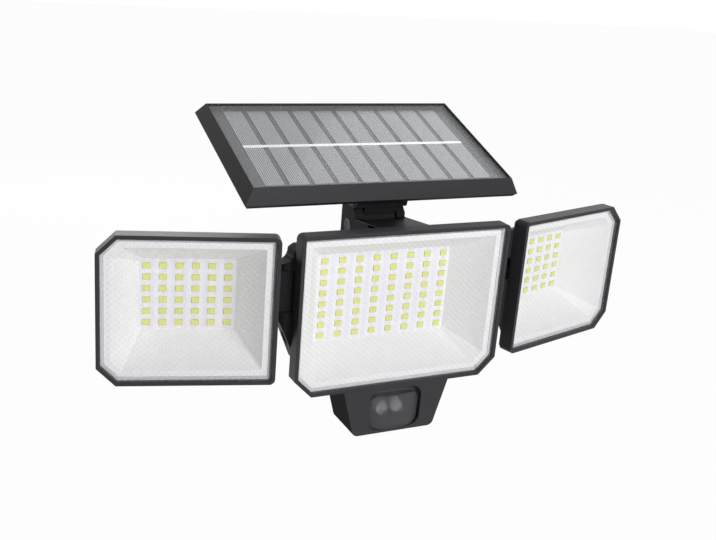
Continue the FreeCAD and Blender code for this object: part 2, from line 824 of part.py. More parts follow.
switch_face = board_rear + switch_height
stem_end = switch_face - stem_grip


def mode_switch():
    """Small push switch on the control board."""
    half = switch_width / 2
    body = block(button_x - half, button_x + half, board_rear, switch_face,
                 button_height - half, button_height + half)
    bore_depth = button_travel + stem_room
    return body.cut(rod(button_x, switch_face - bore_depth, button_height, along_y,
                        stem_radius + running_gap, bore_depth + overlap))


def mode_button():
    """Push button through the back cover: cap, inner flange and stem."""
    cap_back = cover_back + button_proud
    flange_back = cover_front - gap
    cap = rod(button_x, flange_back - overlap, button_height, along_y, button_radius,
              cap_back - flange_back + overlap)
    rim = [edge for edge in cap.Edges if abs(edge.CenterOfMass.y - cap_back) < 0.001]
    cap = cap.makeFillet(button_edge, rim)
    flange = rod(button_x, flange_back - button_flange_thickness, button_height, along_y,
                 button_flange_radius, button_flange_thickness)
    stem = rod(button_x, stem_end, button_height, along_y, stem_radius, flange_back - stem_end)
    return joined([cap, flange, stem])


# ---- Motion sensor ----
frame_bottom = -middle_height / 2 - gap


def sensor_prism(inset, front, back, top):
    """Solid with the sensor housing's tapered front view between two depths."""
    lean = (sensor_top_half_width - sensor_bottom_half_width) / (frame_bottom - sensor_bottom)
    floor = sensor_bottom + inset
    low_half = sensor_bottom_half_width + lean * inset - inset * math.sqrt(1 + lean * lean)
    top_half = low_half + lean * (top - floor)
    outline = [(-top_half, top), (top_half, top), (low_half, floor), (-low_half, floor)]
    body = front_prism(outline, front, back)
    feet = [edge for edge in body.Edges
            if abs(edge.Length - (back - front)) < 0.001 and abs(edge.CenterOfMass.z - floor) < 0.001]
    return body.makeFillet(max(sensor_round - inset, smallest_leg), feet)


def rounded_window(half_width, top, bottom, radius, front, back):
    """Solid with a rounded rectangle for its front view."""
    body = block(-half_width, half_width, front, back, bottom, top)
    upright = [edge for edge in body.Edges if abs(edge.Length - (back - front)) < 0.001
               and abs(abs(edge.CenterOfMass.x) - half_width) < 0.001
               and abs(edge.CenterOfMass.y - (front + back) / 2) < 0.001]
    return body.makeFillet(radius, upright)


def sensor_housing():
    """Box under the middle lamp that looks out through a rounded window."""
    step = shoulder_back + gap
    inner_back = sensor_back_depth - sensor_wall
    under_frame = sensor_prism(0, sensor_face_depth, step, frame_bottom)
    behind_frame = sensor_prism(0, step, sensor_back_depth, sensor_top)
    shell = joined([under_frame, behind_frame])
    inside = joined([sensor_prism(sensor_wall, sensor_face_depth + sensor_wall, inner_back,
                                  frame_bottom - sensor_wall),
                     sensor_prism(sensor_wall, step + sensor_wall, inner_back, sensor_top + overlap)])
    window = rounded_window(window_half_width, window_top, window_bottom, window_round,
                            sensor_face_depth - 2 * sensor_wall, sensor_face_depth + 2 * sensor_wall)
    post_front = detector_back + board_thickness
    posts = [rod(side_sign * sensor_post_x, post_front, z, along_y, sensor_post_radius,
                 sensor_back_depth - overlap - post_front)
             for side_sign in (-1, 1) for z in sensor_post_heights]
    bosses = [rod(side_sign * sensor_screw_x, sensor_screw_depth, sensor_boss_bottom, along_z,
                  sensor_boss_radius, sensor_boss_height) for side_sign in (-1, 1)]
    half_link = sensor_link_width / 2
    links = [block(centre - half_link, centre + half_link, sensor_screw_depth - overlap,
                   sensor_back_depth - overlap, sensor_boss_bottom, sensor_top)
             for centre in (-sensor_screw_x, sensor_screw_x)]
    holes = [rod(side_sign * sensor_screw_x, sensor_screw_depth, sensor_hole_bottom, along_z,
                 screw_hole_radius, sensor_top - sensor_hole_bottom) for side_sign in (-1, 1)]
    body = joined([without(shell, [inside, window])] + posts + bosses + links)
    return without(body, [tub_outside(middle)] + holes)


def sensor_screws():
    """Two screws from inside the housing down into the sensor's bosses."""
    screw = joined([rod(0, 0, sensor_pad_height - sensor_screw_length, along_z, screw_radius,
                        sensor_screw_length),
                    rod(0, 0, sensor_pad_height, along_z, screw_head_radius, screw_head_height)])
    return Part.makeCompound([moved(screw, side_sign * sensor_screw_x, sensor_screw_depth, 0)
                              for side_sign in (-1, 1)])


def eye_solid(inset, front_shift, back):
    """Bulged front of the sensor's cover, drawn in by an inset."""
    front = sensor_face_depth - eye_proud
    bulge = rod(0, front + eye_radius, -right_through, along_z, eye_radius - front_shift, right_through)
    body = rounded_window(window_half_width - gap - inset, eye_top - inset, window_bottom + gap + inset,
                          max(window_round - gap - inset, smallest_leg), front - eye_proud, back)
    return body.common(bulge)


def sensor_lens():
    """Smoked cover over the detectors, with a flange behind the window's edge."""
    flange_front = sensor_face_depth + sensor_wall + eye_flange_depth
    flange_half = window_half_width + eye_flange_margin
    flange = block(-flange_half, flange_half, flange_front, flange_front + eye_wall,
                   sensor_bottom + sensor_wall + gap, eye_top + eye_flange_margin)
    body = joined([eye_solid(0, 0, flange_front + eye_wall), flange])
    return body.cut(eye_solid(eye_wall, eye_wall, flange_front + 2 * eye_wall))


def sensor_board():
    """Small board behind the detectors."""
    return block(-sensor_board_half_width, sensor_board_half_width, detector_back,
                 detector_back + board_thickness, sensor_board_bottom, sensor_board_top)


def detectors():
    """Two heat detectors in metal cans with a small window in each face."""
    cans = []
    for side_sign in (-1, 1):
        x = side_sign * detector_spacing / 2
        can = rod(x, detector_front_depth, detector_height, along_y, detector_radius, detector_length)
        rim = rod(x, detector_back - detector_rim, detector_height, along_y,
                  detector_radius + detector_rim, detector_rim)
        eye = block(x - detector_eye_half_width, x + detector_eye_half_width, detector_front_depth - overlap,
                    detector_front_depth + detector_eye_depth, detector_height - detector_eye_half_height,
                    detector_height + detector_eye_half_height)
        cans.append(joined([can, rim]).cut(eye))
    return Part.makeCompound(cans)


# ---- Side lamps, built upright and then turned to their rest place ----
axle_lift = side_axle_height - side_lift
pin_lamp_x = side_width / 2 + pin_to_lamp
axle_start = side_width / 2 - axle_length
clip_start = axle_start + groove_inset


def side_place(shape):
    """Takes a shape of the left side lamp from its own frame to its rest place."""
    start = moved(shape, -pin_lamp_x, -axle_depth, 0)
    return moved(turned(start, -side_turn, along_z), -side_pin_x, side_pin_depth, side_lift)


def side_housing():
    """Rear shell of a side lamp with the hub for the knuckle's axle."""
    shell = tub_outside(side).cut(tub_inside(side))
    hub_end = side_width / 2 - slip_gap
    hub_start = hub_end - hub_length
    hub = rod(hub_start, axle_depth, axle_lift, along_x, hub_radius, hub_end - hub_start)
    hub = hub.cut(reflector_space(side))
    bore = rod(hub_start - overlap, axle_depth, axle_lift, along_x, axle_radius + running_gap,
               hub_length + 2 * overlap)
    clip_room = rod(hub_start - clip_room_depth, axle_depth, axle_lift, along_x, hub_radius, clip_room_depth)
    body = joined([shell, hub, tub_trim(side)] + board_posts(side))
    return without(body, [bore, clip_room] + screw_passages(side))


def reflector_space(lamp):
    """Room that the reflector needs inside the housing."""
    return taper(outline(*lamp.size, mouth_inset - reflector_wall - gap, ledge_front - overlap),
                 lamp.inner_outline(reflector_wall + gap, board_front + overlap))


def knuckle():
    """Block that turns on the upright pin and carries the side lamp on a hollow axle."""
    low = fork_bottom + gap - side_lift
    high = fork_top - gap - side_lift
    face = side_width / 2 + 2 * gap
    barrel = rod(pin_lamp_x, axle_depth, low, along_z, fork_radius - gap, high - low)
    cheek = block(face, pin_lamp_x, axle_depth - fork_radius + gap, axle_depth + fork_radius - gap, low, high)
    body = joined([barrel, cheek])
    body = body.common(block(face, pin_lamp_x + fork_radius, 0, 2 * axle_depth, low, high))
    axle = rod(axle_start, axle_depth, axle_lift, along_x, axle_radius, face - axle_start + overlap)
    groove = rod(clip_start, axle_depth, axle_lift, along_x, axle_radius + overlap, clip_thickness)
    core = rod(axle_start, axle_depth, axle_lift, along_x, axle_radius - groove_depth, axle_length)
    groove = groove.cut(core)
    wire_way = rod(axle_start - overlap, axle_depth, axle_lift, along_x, axle_bore_radius,
                   face - axle_start + 2 * overlap)
    pin_bore = rod(pin_lamp_x, axle_depth, low - overlap, along_z, pin_radius + running_gap,
                   high - low + 2 * overlap)
    return without(joined([body, axle]), [groove, wire_way, pin_bore])


def axle_clip():
    """Spring clip that keeps the axle in the lamp's hub."""
    ring = rod(clip_start, axle_depth, axle_lift, along_x, clip_radius, clip_thickness)
    cut_start = clip_start - overlap
    cut_end = clip_start + clip_thickness + overlap
    middle_hole = rod(cut_start, axle_depth, axle_lift, along_x, axle_radius - groove_depth,
                      cut_end - cut_start)
    mouth = block(cut_start, cut_end, axle_depth - clip_mouth_half, axle_depth + clip_mouth_half,
                  axle_lift, axle_lift + 2 * clip_radius)
    return without(ring, [middle_hole, mouth])


def hinge_pin():
    """Upright pin pushed up from below through the left fork and knuckle."""
    return rod(-side_pin_x, side_pin_depth, pin_bottom, along_z, pin_radius, pin_top - pin_bottom)


# ---- Solar panel ----
def panel_place(shape):
    """Takes a shape from the panel's own frame to its rest place."""
    start = moved(shape, 0, -panel_hinge_y, -panel_hinge_z)
    return moved(turned(start, panel_slope, along_x), 0, panel_hinge_depth, panel_hinge_height)


def level_rectangle(half_length, half_width, z):
    """Closed rectangular wire in a level plane."""
    corners = [Vector(-half_length, -half_width, z), Vector(half_length, -half_width, z),
               Vector(half_length, half_width, z), Vector(-half_length, half_width, z)]
    return Part.makePolygon(corners + [corners[0]])


panel_half_length = panel_length / 2
panel_half_width = panel_width / 2
glass_bottom = -glass_recess - glass_thickness
ribbon_bottom = glass_bottom - ribbon_thickness
cell_bottom = ribbon_bottom - cell_thickness
backing_bottom = cell_bottom - backing_thickness
deck_bottom = backing_bottom - deck_thickness
lip_bottom = -panel_tray_height - panel_lip_height
panel_screw_x = panel_half_length - panel_screw_inset_x
panel_screw_y = panel_half_width - panel_screw_inset_y
panel_screw_spots = [(x, y) for x in (-panel_screw_x, 0, panel_screw_x)
                     for y in (-panel_screw_y, panel_screw_y)]
panel_screw_seat = lip_bottom + panel_head_recess
foot_screw_spots = [(x, panel_hinge_y + foot_screw_y) for x in (-foot_screw_x, foot_screw_x)]
foot_bottom = lip_bottom - foot_height


def panel_tray():
    """Tray whose walls flare downwards, with a deck under the laminate."""
    base = level_rectangle(panel_half_length + panel_flare, panel_half_width + panel_flare,
                           -panel_tray_height)
    shell = taper(level_rectangle(panel_half_length, panel_half_width, 0), base)
    pocket_x = panel_half_length - panel_rim
    pocket_y = panel_half_width - panel_rim
    pocket = block(-pocket_x, pocket_x, -pocket_y, pocket_y, backing_bottom, overlap)
    hollow = block(-panel_half_length, panel_half_length, -panel_half_width, panel_half_width,
                   -panel_tray_height - overlap, deck_bottom)
    bosses = [rod(x, y, -panel_tray_height, along_z, panel_boss_radius,
                  deck_bottom + panel_tray_height + deck_thickness / 2) for x, y in panel_screw_spots]
    holes = [rod(x, y, -panel_tray_height - overlap, along_z, screw_hole_radius, panel_hole_depth)
             for x, y in panel_screw_spots]
    return without(joined([without(shell, [pocket, hollow])] + bosses), holes)


def panel_layer(top, bottom):
    """Layer of the laminate that fills the tray's pocket."""
    along = panel_half_length - panel_rim - slip_gap
    across = panel_half_width - panel_rim - slip_gap
    return block(-along, along, -across, across, bottom, top)


def panel_cells():
    """Row of narrow solar cells."""
    cells = []
    for index in range(cell_count):
        x = (index - (cell_count - 1) / 2) * cell_pitch
        cells.append(block(x - cell_width / 2, x + cell_width / 2, cell_shift - cell_length / 2,
                           cell_shift + cell_length / 2, cell_bottom, ribbon_bottom))
    return Part.makeCompound(cells)


def panel_ribbon():
    """Silver ribbon that joins all the cells."""
    reach_x = ((cell_count - 1) * cell_pitch + cell_width) / 2
    return block(-reach_x, reach_x, cell_shift - ribbon_width / 2, cell_shift + ribbon_width / 2,
                 ribbon_bottom, glass_bottom)


def panel_back_cover():
    """Plate that closes the tray from below and shows as a dark lip."""
    along = panel_half_length + panel_flare - panel_cover_inset
    across = panel_half_width + panel_flare - panel_cover_inset
    top = level_rectangle(along, across, -panel_tray_height)
    bottom = level_rectangle(along - panel_cover_draft, across - panel_cover_draft, lip_bottom)
    plate = taper(top, bottom)
    start = lip_bottom - overlap
    through = panel_lip_height + 2 * overlap
    holes = [rod(x, y, start, along_z, screw_hole_radius + slip_gap, through) for x, y in panel_screw_spots]
    heads = [rod(x, y, start, along_z, screw_head_radius + gap, panel_head_recess + overlap)
             for x, y in panel_screw_spots]
    foot_holes = [rod(x, y, start, along_z, screw_hole_radius, through) for x, y in foot_screw_spots]
    return without(plate, holes + heads + foot_holes)


def panel_screws():
    """Screws that hold the panel's back cover."""
    screw = joined([rod(0, 0, panel_screw_seat, along_z, screw_radius, panel_hole_depth),
                    rod(0, 0, panel_screw_seat - screw_head_height, along_z, screw_head_radius,
                        screw_head_height)])
    return Part.makeCompound([moved(screw, x, y, 0) for x, y in panel_screw_spots])


def panel_foot():
    """Foot under the panel with the tongue of the upper hinge."""
    plate = block(-foot_half_width, foot_half_width, panel_hinge_y - foot_front, panel_hinge_y + foot_back,
                  foot_bottom, lip_bottom)
    tongue_half = neck_half_width - ear_thickness - gap
    tongue = joined([rod(-tongue_half, panel_hinge_y, panel_hinge_z, along_x, tongue_radius, 2 * tongue_half),
                     block(-tongue_half, tongue_half, panel_hinge_y - tongue_front,
                           panel_hinge_y + tongue_back, panel_hinge_z, foot_bottom + overlap)])
    bore = cross_bore(panel_hinge_y, panel_hinge_z, panel_bolt_radius)
    start = foot_bottom - overlap
    holes = [rod(x, y, start, along_z, screw_hole_radius + slip_gap, foot_height + 2 * overlap)
             for x, y in foot_screw_spots]
    heads = [rod(x, y, start, along_z, screw_head_radius + gap, foot_head_recess + overlap)
             for x, y in foot_screw_spots]
    return without(joined([plate, tongue]), [bore] + holes + heads)


def foot_screws():
    """Two screws that hold the foot to the panel's back cover."""
    seat = foot_bottom + foot_head_recess
    screw = joined([rod(0, 0, seat, along_z, screw_radius, lip_bottom + foot_screw_grip - seat),
                    rod(0, 0, seat - screw_head_height, along_z, screw_head_radius, screw_head_height)])
    return Part.makeCompound([moved(screw, x, y, 0) for x, y in foot_screw_spots])


# ---- Gather and save ----
def lamp_pieces(lamp, name):
    """The pieces that every lamp has, by node name."""
    return {
        name + "_front_frame": front_frame(lamp),
        name + "_lens": lens(lamp),
        name + "_lens_seal": lens_seal(lamp),
        name + "_reflector": reflector(lamp),
        name + "_led_board": led_board(lamp),
        name + "_leds": leds(lamp),
        name + "_frame_screws": frame_screws(lamp),
    }


def light_pieces():
    """Every piece, placed with the origin at the middle lamp's front face."""
    pieces = lamp_pieces(middle, "middle")
    pieces["middle_housing"] = middle_housing()
    pieces["back_cover"] = back_cover()
    pieces["back_cover_seal"] = cover_seal()
    pieces["back_cover_screws"] = cover_screws()
    pieces["battery_cells"] = battery_cells()
    pieces["battery_holder"] = battery_holder()
    pieces["control_board"] = control_board()
    pieces["control_parts"] = control_parts()
    pieces["mode_switch"] = mode_switch()
    pieces["mode_button"] = mode_button()
    pieces["sensor_housing"] = sensor_housing()
    pieces["sensor_screws"] = sensor_screws()
    pieces["sensor_lens"] = sensor_lens()
    pieces["sensor_board"] = sensor_board()
    pieces["heat_detectors"] = detectors()
    side_pieces = lamp_pieces(side, "side")
    side_pieces["side_housing"] = side_housing()
    side_pieces["side_knuckle"] = knuckle()
    side_pieces["side_axle_clip"] = axle_clip()
    placed = {name: side_place(shape) for name, shape in side_pieces.items()}
    placed["side_hinge_pin"] = hinge_pin()
    for name, shape in placed.items():
        pieces[name.replace("side", "left", 1)] = shape
        pieces[name.replace("side", "right", 1)] = shape.mirror(origin, along_x)
    panel_pieces = {
        "panel_tray": panel_tray(),
        "panel_glass": panel_layer(-glass_recess, glass_bottom),
        "panel_cells": panel_cells(),
        "panel_ribbon": panel_ribbon(),
        "panel_backing": panel_layer(cell_bottom, backing_bottom),
        "panel_back_cover": panel_back_cover(),
        "panel_cover_screws": panel_screws(),
        "panel_foot": panel_foot(),
        "panel_foot_screws": foot_screws(),
    }
    for name, shape in panel_pieces.items():
        pieces[name] = panel_place(shape)
    pieces["panel_hinge_bolt"] = cross_bolt(panel_hinge_depth, panel_hinge_height, -neck_half_width,
                                            neck_half_width, panel_bolt_radius, panel_bolt_head_radius,
                                            panel_bolt_head_height)
    pieces["panel_hinge_nut"] = cross_nut(panel_hinge_depth, panel_hinge_height, panel_nut_seat,
                                          panel_bolt_radius)
    wall_grip = wall_tongue_half_width + gap + wall_ear_thickness
    pieces["wall_hinge_bolt"] = cross_bolt(wall_hinge_depth, 0, -wall_grip - bolt_nut_room, wall_grip,
                                           wall_bolt_radius, wall_bolt_head_radius, wall_bolt_head_height)
    pieces["wall_hinge_nut"] = cross_nut(wall_hinge_depth, 0, -wall_grip, wall_bolt_radius)
    return pieces


os.makedirs("parts", exist_ok=True)
all_pieces = {name: moved(shape, 0, -reach, plate_drop) for name, shape in light_pieces().items()}
all_pieces["wall_plate"] = wall_plate()
for name, shape in all_pieces.items():
    shape.exportStep("parts/" + name + ".step")
    print(name, len(shape.Solids), "solids,", round(shape.Volume / 1000, 2), "cm3,", shape.isValid())
print(len(all_pieces), "nodes")
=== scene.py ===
# %% [markdown]
# # Motion sensor security light
#
# Three white-lit lamp heads sit under a small solar panel, with a motion sensor below the middle
# one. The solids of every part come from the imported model. This lesson dresses them: it rounds
# their moulded edges, sets in the small repeated parts and gives each part the surface of its
# real material. Everything is in metres: X is right, -Y is away from the wall, and Z is up.

# %% Load the solids
import json
import math

import bmesh
import bpy
from mathutils import Matrix, Vector


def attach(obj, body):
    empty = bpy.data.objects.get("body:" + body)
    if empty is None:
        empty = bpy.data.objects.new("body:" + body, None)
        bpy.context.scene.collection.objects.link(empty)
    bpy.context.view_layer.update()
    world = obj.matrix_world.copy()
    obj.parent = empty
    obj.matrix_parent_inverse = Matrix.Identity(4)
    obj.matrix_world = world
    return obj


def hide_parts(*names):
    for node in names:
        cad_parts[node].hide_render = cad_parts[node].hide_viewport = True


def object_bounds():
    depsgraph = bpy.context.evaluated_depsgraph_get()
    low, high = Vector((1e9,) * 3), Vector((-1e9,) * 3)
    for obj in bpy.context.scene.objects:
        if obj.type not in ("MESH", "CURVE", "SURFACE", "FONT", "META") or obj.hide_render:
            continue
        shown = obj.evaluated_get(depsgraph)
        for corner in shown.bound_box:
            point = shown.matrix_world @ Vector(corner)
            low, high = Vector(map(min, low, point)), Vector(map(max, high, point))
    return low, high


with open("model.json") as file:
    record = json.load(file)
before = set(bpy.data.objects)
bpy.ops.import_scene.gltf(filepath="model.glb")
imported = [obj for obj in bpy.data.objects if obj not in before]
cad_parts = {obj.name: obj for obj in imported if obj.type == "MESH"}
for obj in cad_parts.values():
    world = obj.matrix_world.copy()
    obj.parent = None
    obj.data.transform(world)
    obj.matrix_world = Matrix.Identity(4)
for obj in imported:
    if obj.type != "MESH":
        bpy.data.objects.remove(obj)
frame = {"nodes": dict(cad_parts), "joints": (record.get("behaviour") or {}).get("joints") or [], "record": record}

CAD_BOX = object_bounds()
MM = 0.001

# %% [markdown]
# ## The camera
#
# The camera stands to the left of the light and a little above it. Its place comes from a
# perspective fitted to the straight edges of the lamps and the panel. A camera could be aimed
# with a constraint, but a matrix built from the view's own angles also takes its slight roll.

# %% Camera
VIEW_AZIMUTH = math.radians(26.87)
VIEW_ELEVATION = math.radians(18.62)
VIEW_ROLL = math.radians(4.59)
VIEW_DISTANCE = 662 * MM
VIEW_TARGET = Vector((-39.18, -175.0, 78.67)) * MM
LENS_LENGTH = 50.0


def camera_matrix():
    """Places the camera by its angles round the target, then rolls it about its own axis."""
    level = math.cos(VIEW_ELEVATION)
    back = Vector((-math.sin(VIEW_AZIMUTH) * level, -math.cos(VIEW_AZIMUTH) * level,
                   math.sin(VIEW_ELEVATION)))
    right = (-back).cross(Vector((0, 0, 1))).normalized()
    up = right.cross(-back)
    turned_right = math.cos(VIEW_ROLL) * right + math.sin(VIEW_ROLL) * up
    turned_up = math.cos(VIEW_ROLL) * up - math.sin(VIEW_ROLL) * right
    matrix = Matrix((turned_right, turned_up, back)).transposed().to_4x4()
    matrix.translation = VIEW_TARGET + VIEW_DISTANCE * back
    return matrix


camera = bpy.data.objects.new("camera", bpy.data.cameras.new("camera"))
camera.data.lens = LENS_LENGTH
camera.matrix_world = camera_matrix()
bpy.context.scene.collection.objects.link(camera)
bpy.context.scene.camera = camera
bpy.context.scene.view_settings.view_transform = "Standard"
print("camera at", [round(value, 3) for value in camera.location])

# %% [markdown]
# ## Small helpers for colours and nodes
#
# Colours are written as they look on a screen, in hex, and one function turns them to the linear
# values that a shader works in. A second function adds any node with its settings and links, so
# each material reads as a short list.

# %% Colour and node helpers
def linear(hex_colour):
    """Linear RGBA of a hex colour, by the standard sRGB curve."""
    channels = [int(hex_colour[start:start + 2], 16) / 255 for start in (1, 3, 5)]
    return tuple(value / 12.92 if value <= 0.04045 else ((value + 0.055) / 1.055) ** 2.4
                 for value in channels) + (1.0,)


def add(tree, kind, settings=None, links=None):
    """Adds a node, sets its properties or input values by name or number, and links inputs."""
    node = tree.nodes.new(kind)
    for name, value in (settings or {}).items():
        if isinstance(name, int) or name in node.inputs:
            node.inputs[name].default_value = value
        else:
            setattr(node, name, value)
    for name, source in (links or {}).items():
        tree.links.new(source, node.inputs[name])
    return node


def new_finish(name, sockets):
    """A material whose shader has its constant values on its own sockets."""
    material = bpy.data.materials.new(name)
    material.use_nodes = True
    shader = material.node_tree.nodes["Principled BSDF"]
    for socket, value in sockets.items():
        shader.inputs[socket].default_value = value
    return material, material.node_tree, shader


print("helpers ready")

# %% [markdown]
# ## What most surfaces share
#
# No real surface has one flat colour. A moulded, plated or fired one varies slowly from patch to
# patch, and carries a much finer grain that breaks up its highlights. Both could be painted as
# images, but noise textures have no seams and take their scale from a real size in millimetres.
# They read Object coordinates, so the pattern moves with its piece.

# %% Patches and grain
def mottle(tree, shader, dark, light, patch, roughness):
    """Blends two close colours, and two roughnesses, in soft patches of a real size."""
    place = add(tree, "ShaderNodeTexCoord")
    patches = add(tree, "ShaderNodeTexNoise", {"Scale": 1 / patch, "Detail": 3.0},
                  {"Vector": place.outputs["Object"]})
    blend = add(tree, "ShaderNodeMix", {"data_type": "RGBA", 6: linear(dark), 7: linear(light)},
                {0: patches.outputs["Fac"]})
    tree.links.new(blend.outputs[2], shader.inputs["Base Color"])
    spread = add(tree, "ShaderNodeMapRange", {"To Min": roughness[0], "To Max": roughness[1]},
                 {"Value": patches.outputs["Fac"]})
    tree.links.new(spread.outputs["Result"], shader.inputs["Roughness"])
    return place


def raise_grain(tree, shader, place, size, height):
    """Raises a fine grain of a real size and height."""
    bumps = add(tree, "ShaderNodeTexNoise", {"Scale": 1 / size, "Detail": 2.0},
                {"Vector": place.outputs["Object"]})
    relief = add(tree, "ShaderNodeBump", {"Distance": height, "Strength": 1.0},
                 {"Height": bumps.outputs["Fac"]})
    tree.links.new(relief.outputs["Normal"], shader.inputs["Normal"])


def grained_finish(name, dark, light, patch, roughness, grain, sockets):
    """A finish with soft patches and a grain; the grain is its size and its height."""
    material, tree, shader = new_finish(name, sockets)
    place = mottle(tree, shader, dark, light, patch, roughness)
    raise_grain(tree, shader, place, *grain)
    return material


print("shared surface helpers ready")

# %% [markdown]
# ## Black moulded ABS and the rubber button
#
# The frames, housings, hinge parts and panel tray are injection-moulded ABS. The mould's walls
# are spark-eroded in three grades: fine on the frames and the panel's tray, which keeps a sheen,
# matt on the sensor's housing, and coarse on the rear parts. The rear parts are drawn darker
# than the frames, and that darker colour is painted shade: they lie between the heads and under
# the panel, where shade falls. The real grain is about 0.2 mm, too fine to show from here, so it
# is drawn at 0.9 mm and kept very low. Slow patches in colour and roughness come from the melt's
# flow. The mode button is silicone rubber: softer, paler and duller than the housing.

# %% Moulded ABS and button rubber
ABS_IOR = 1.53
SILICONE_IOR = 1.41
MOULD_GRAIN = (0.9 * MM, 0.012 * MM)
FLOW_PATCH = 30 * MM
FINE_SHINE = 0.10
MATT_SHINE = 0.0
COARSE_SHINE = 0.03


def moulded_abs(name, dark, light, shine):
    """Dark ABS with a given level of mirror-like reflection."""
    return grained_finish(name, dark, light, patch=FLOW_PATCH, roughness=(0.3, 0.4),
                          grain=MOULD_GRAIN, sockets={"IOR": ABS_IOR, "Specular IOR Level": shine})


FRAME_ABS = moulded_abs("abs_fine_texture", "#37373a", "#3e3e41", FINE_SHINE)
SENSOR_ABS = moulded_abs("abs_matt_texture", "#403f41", "#464547", MATT_SHINE)
# the rear parts' darker colour is painted shade, for where they lie between the heads and under the panel
REAR_ABS_PAINTED_SHADE = moulded_abs("abs_coarse_texture", "#232325", "#29292b", COARSE_SHINE)
BUTTON_RUBBER = grained_finish("silicone_button", "#6c6e70", "#7a7c7e", patch=4 * MM,
                               roughness=(0.55, 0.65), grain=MOULD_GRAIN,
                               sockets={"IOR": SILICONE_IOR})
print("made", FRAME_ABS.name, SENSOR_ABS.name, REAR_ABS_PAINTED_SHADE.name, BUTTON_RUBBER.name)

# %% [markdown]
# ## Clear lens with its moulded dots
#
# The lens is a clear polycarbonate plate. Its inner face carries a staggered lattice of tiny
# raised dots that spread the light. On the real lens they stand about 4.7 mm apart in a row,
# with rows about 1.4 mm apart. The rows are drawn 2.05 mm apart here, which is coarser. Two
# cosine waves multiplied together peak exactly on such a lattice. A refracting shader would keep
# the lamp's inside dark, so the plate is made see-through by its alpha, and the dots are milkier.

# %% Clear lens
POLYCARBONATE_IOR = 1.58
DOT_SPACING = 4.6 * MM
DOT_ROW_SPACING = 2.05 * MM
DOT_HEIGHT = 0.02 * MM
DOT_BEGINS, DOT_FULL = 0.1, 0.8
CLEAR_ALPHA = 0.04
DOT_ALPHA = 0.09


def clear_lens(name, turn):
    """Clear plate with milky dots; the lattice turns with its lamp."""
    material, tree, shader = new_finish(name, {"Base Color": linear("#fcfcfe"), "Roughness": 0.12,
                                               "IOR": POLYCARBONATE_IOR})
    place = add(tree, "ShaderNodeTexCoord")
    level = add(tree, "ShaderNodeMapping", {"Rotation": (0, 0, -turn)},
                {"Vector": place.outputs["Object"]})
    parts = add(tree, "ShaderNodeSeparateXYZ", links={"Vector": level.outputs["Vector"]})
    waves = []
    for axis, spacing in (("X", DOT_SPACING), ("Z", 2 * DOT_ROW_SPACING)):
        angle = add(tree, "ShaderNodeMath", {"operation": "MULTIPLY", 1: 2 * math.pi / spacing},
                    {0: parts.outputs[axis]})
        waves.append(add(tree, "ShaderNodeMath", {"operation": "COSINE"}, {0: angle.outputs[0]}))
    lattice = add(tree, "ShaderNodeMath", {"operation": "MULTIPLY"},
                  {0: waves[0].outputs[0], 1: waves[1].outputs[0]})
    milk = add(tree, "ShaderNodeMapRange",
               {"From Min": DOT_BEGINS, "From Max": DOT_FULL, "To Min": CLEAR_ALPHA,
                "To Max": DOT_ALPHA}, {"Value": lattice.outputs[0]})
    relief = add(tree, "ShaderNodeBump", {"Distance": DOT_HEIGHT, "Strength": 0.4},
                 {"Height": lattice.outputs[0]})
    tree.links.new(milk.outputs["Result"], shader.inputs["Alpha"])
    tree.links.new(relief.outputs["Normal"], shader.inputs["Normal"])
    return material


SIDE_TURN = math.radians(15)
TURNS = {"middle": 0.0, "left": -SIDE_TURN, "right": SIDE_TURN}
LENSES = {name: clear_lens("polycarbonate_dotted_" + name, turn) for name, turn in TURNS.items()}
print("made", len(LENSES), "lens finishes")

# %% [markdown]
# ## The white inside of a lamp
#
# Behind each lens lie a grey silicone gasket, a white reflector and a white board. The gasket is
# dull. The reflector is white ABS with a coarse eroded texture on its sloping walls, about
# 1.5 mm across. The board's solder mask is a cooler white, and copper tracks run up the board
# under it, which show as faint stripes.

# %% Gasket, reflector and board
REFLECTOR_GRAIN = (1.5 * MM, 0.025 * MM)
EPOXY_IOR = 1.5
TRACK_SPACING = 6.8 * MM
TRACK_HEIGHT = 0.03 * MM
# length of one band of a wave texture at scale 1
WAVE_BAND = 0.314


def board_white():
    """White solder mask over copper tracks that run up the board."""
    material, tree, shader = new_finish("solder_mask_white", {"Roughness": 0.35, "IOR": EPOXY_IOR})
    place = add(tree, "ShaderNodeTexCoord")
    tracks = add(tree, "ShaderNodeTexWave",
                 {"wave_type": "BANDS", "bands_direction": "X", "Scale": WAVE_BAND / TRACK_SPACING,
                  "Distortion": 0.4}, {"Vector": place.outputs["Object"]})
    shade = add(tree, "ShaderNodeMix",
                {"data_type": "RGBA", 6: linear("#ebe9f3"), 7: linear("#f3f2f7")},
                {0: tracks.outputs["Fac"]})
    relief = add(tree, "ShaderNodeBump", {"Distance": TRACK_HEIGHT},
                 {"Height": tracks.outputs["Fac"]})
    tree.links.new(shade.outputs[2], shader.inputs["Base Color"])
    tree.links.new(relief.outputs["Normal"], shader.inputs["Normal"])
    return material


GASKET = grained_finish("silicone_grey", "#dddfe0", "#e5e7e8", patch=5 * MM, roughness=(0.5, 0.6),
                        grain=MOULD_GRAIN, sockets={"IOR": SILICONE_IOR})
REFLECTOR_WHITE = grained_finish("abs_white_textured", "#f5f5f7", "#fcfcfe", patch=2.4 * MM,
                                 roughness=(0.3, 0.42), grain=REFLECTOR_GRAIN,
                                 sockets={"IOR": ABS_IOR})
BOARD_WHITE = board_white()
print("made", GASKET.name, REFLECTOR_WHITE.name, BOARD_WHITE.name)

# %% [markdown]
# ## LEDs
#
# Each LED is a plastic package with a window of silicone gel. The gel holds yellow phosphor, so
# an unlit LED looks pale yellow-green and slightly glossy, and its package walls take a tint
# from it. The phosphor's grains are about 0.02 mm and the package's mould grain 0.1 mm. Both are
# drawn coarser, at 0.6 mm and 0.5 mm, so that they show.

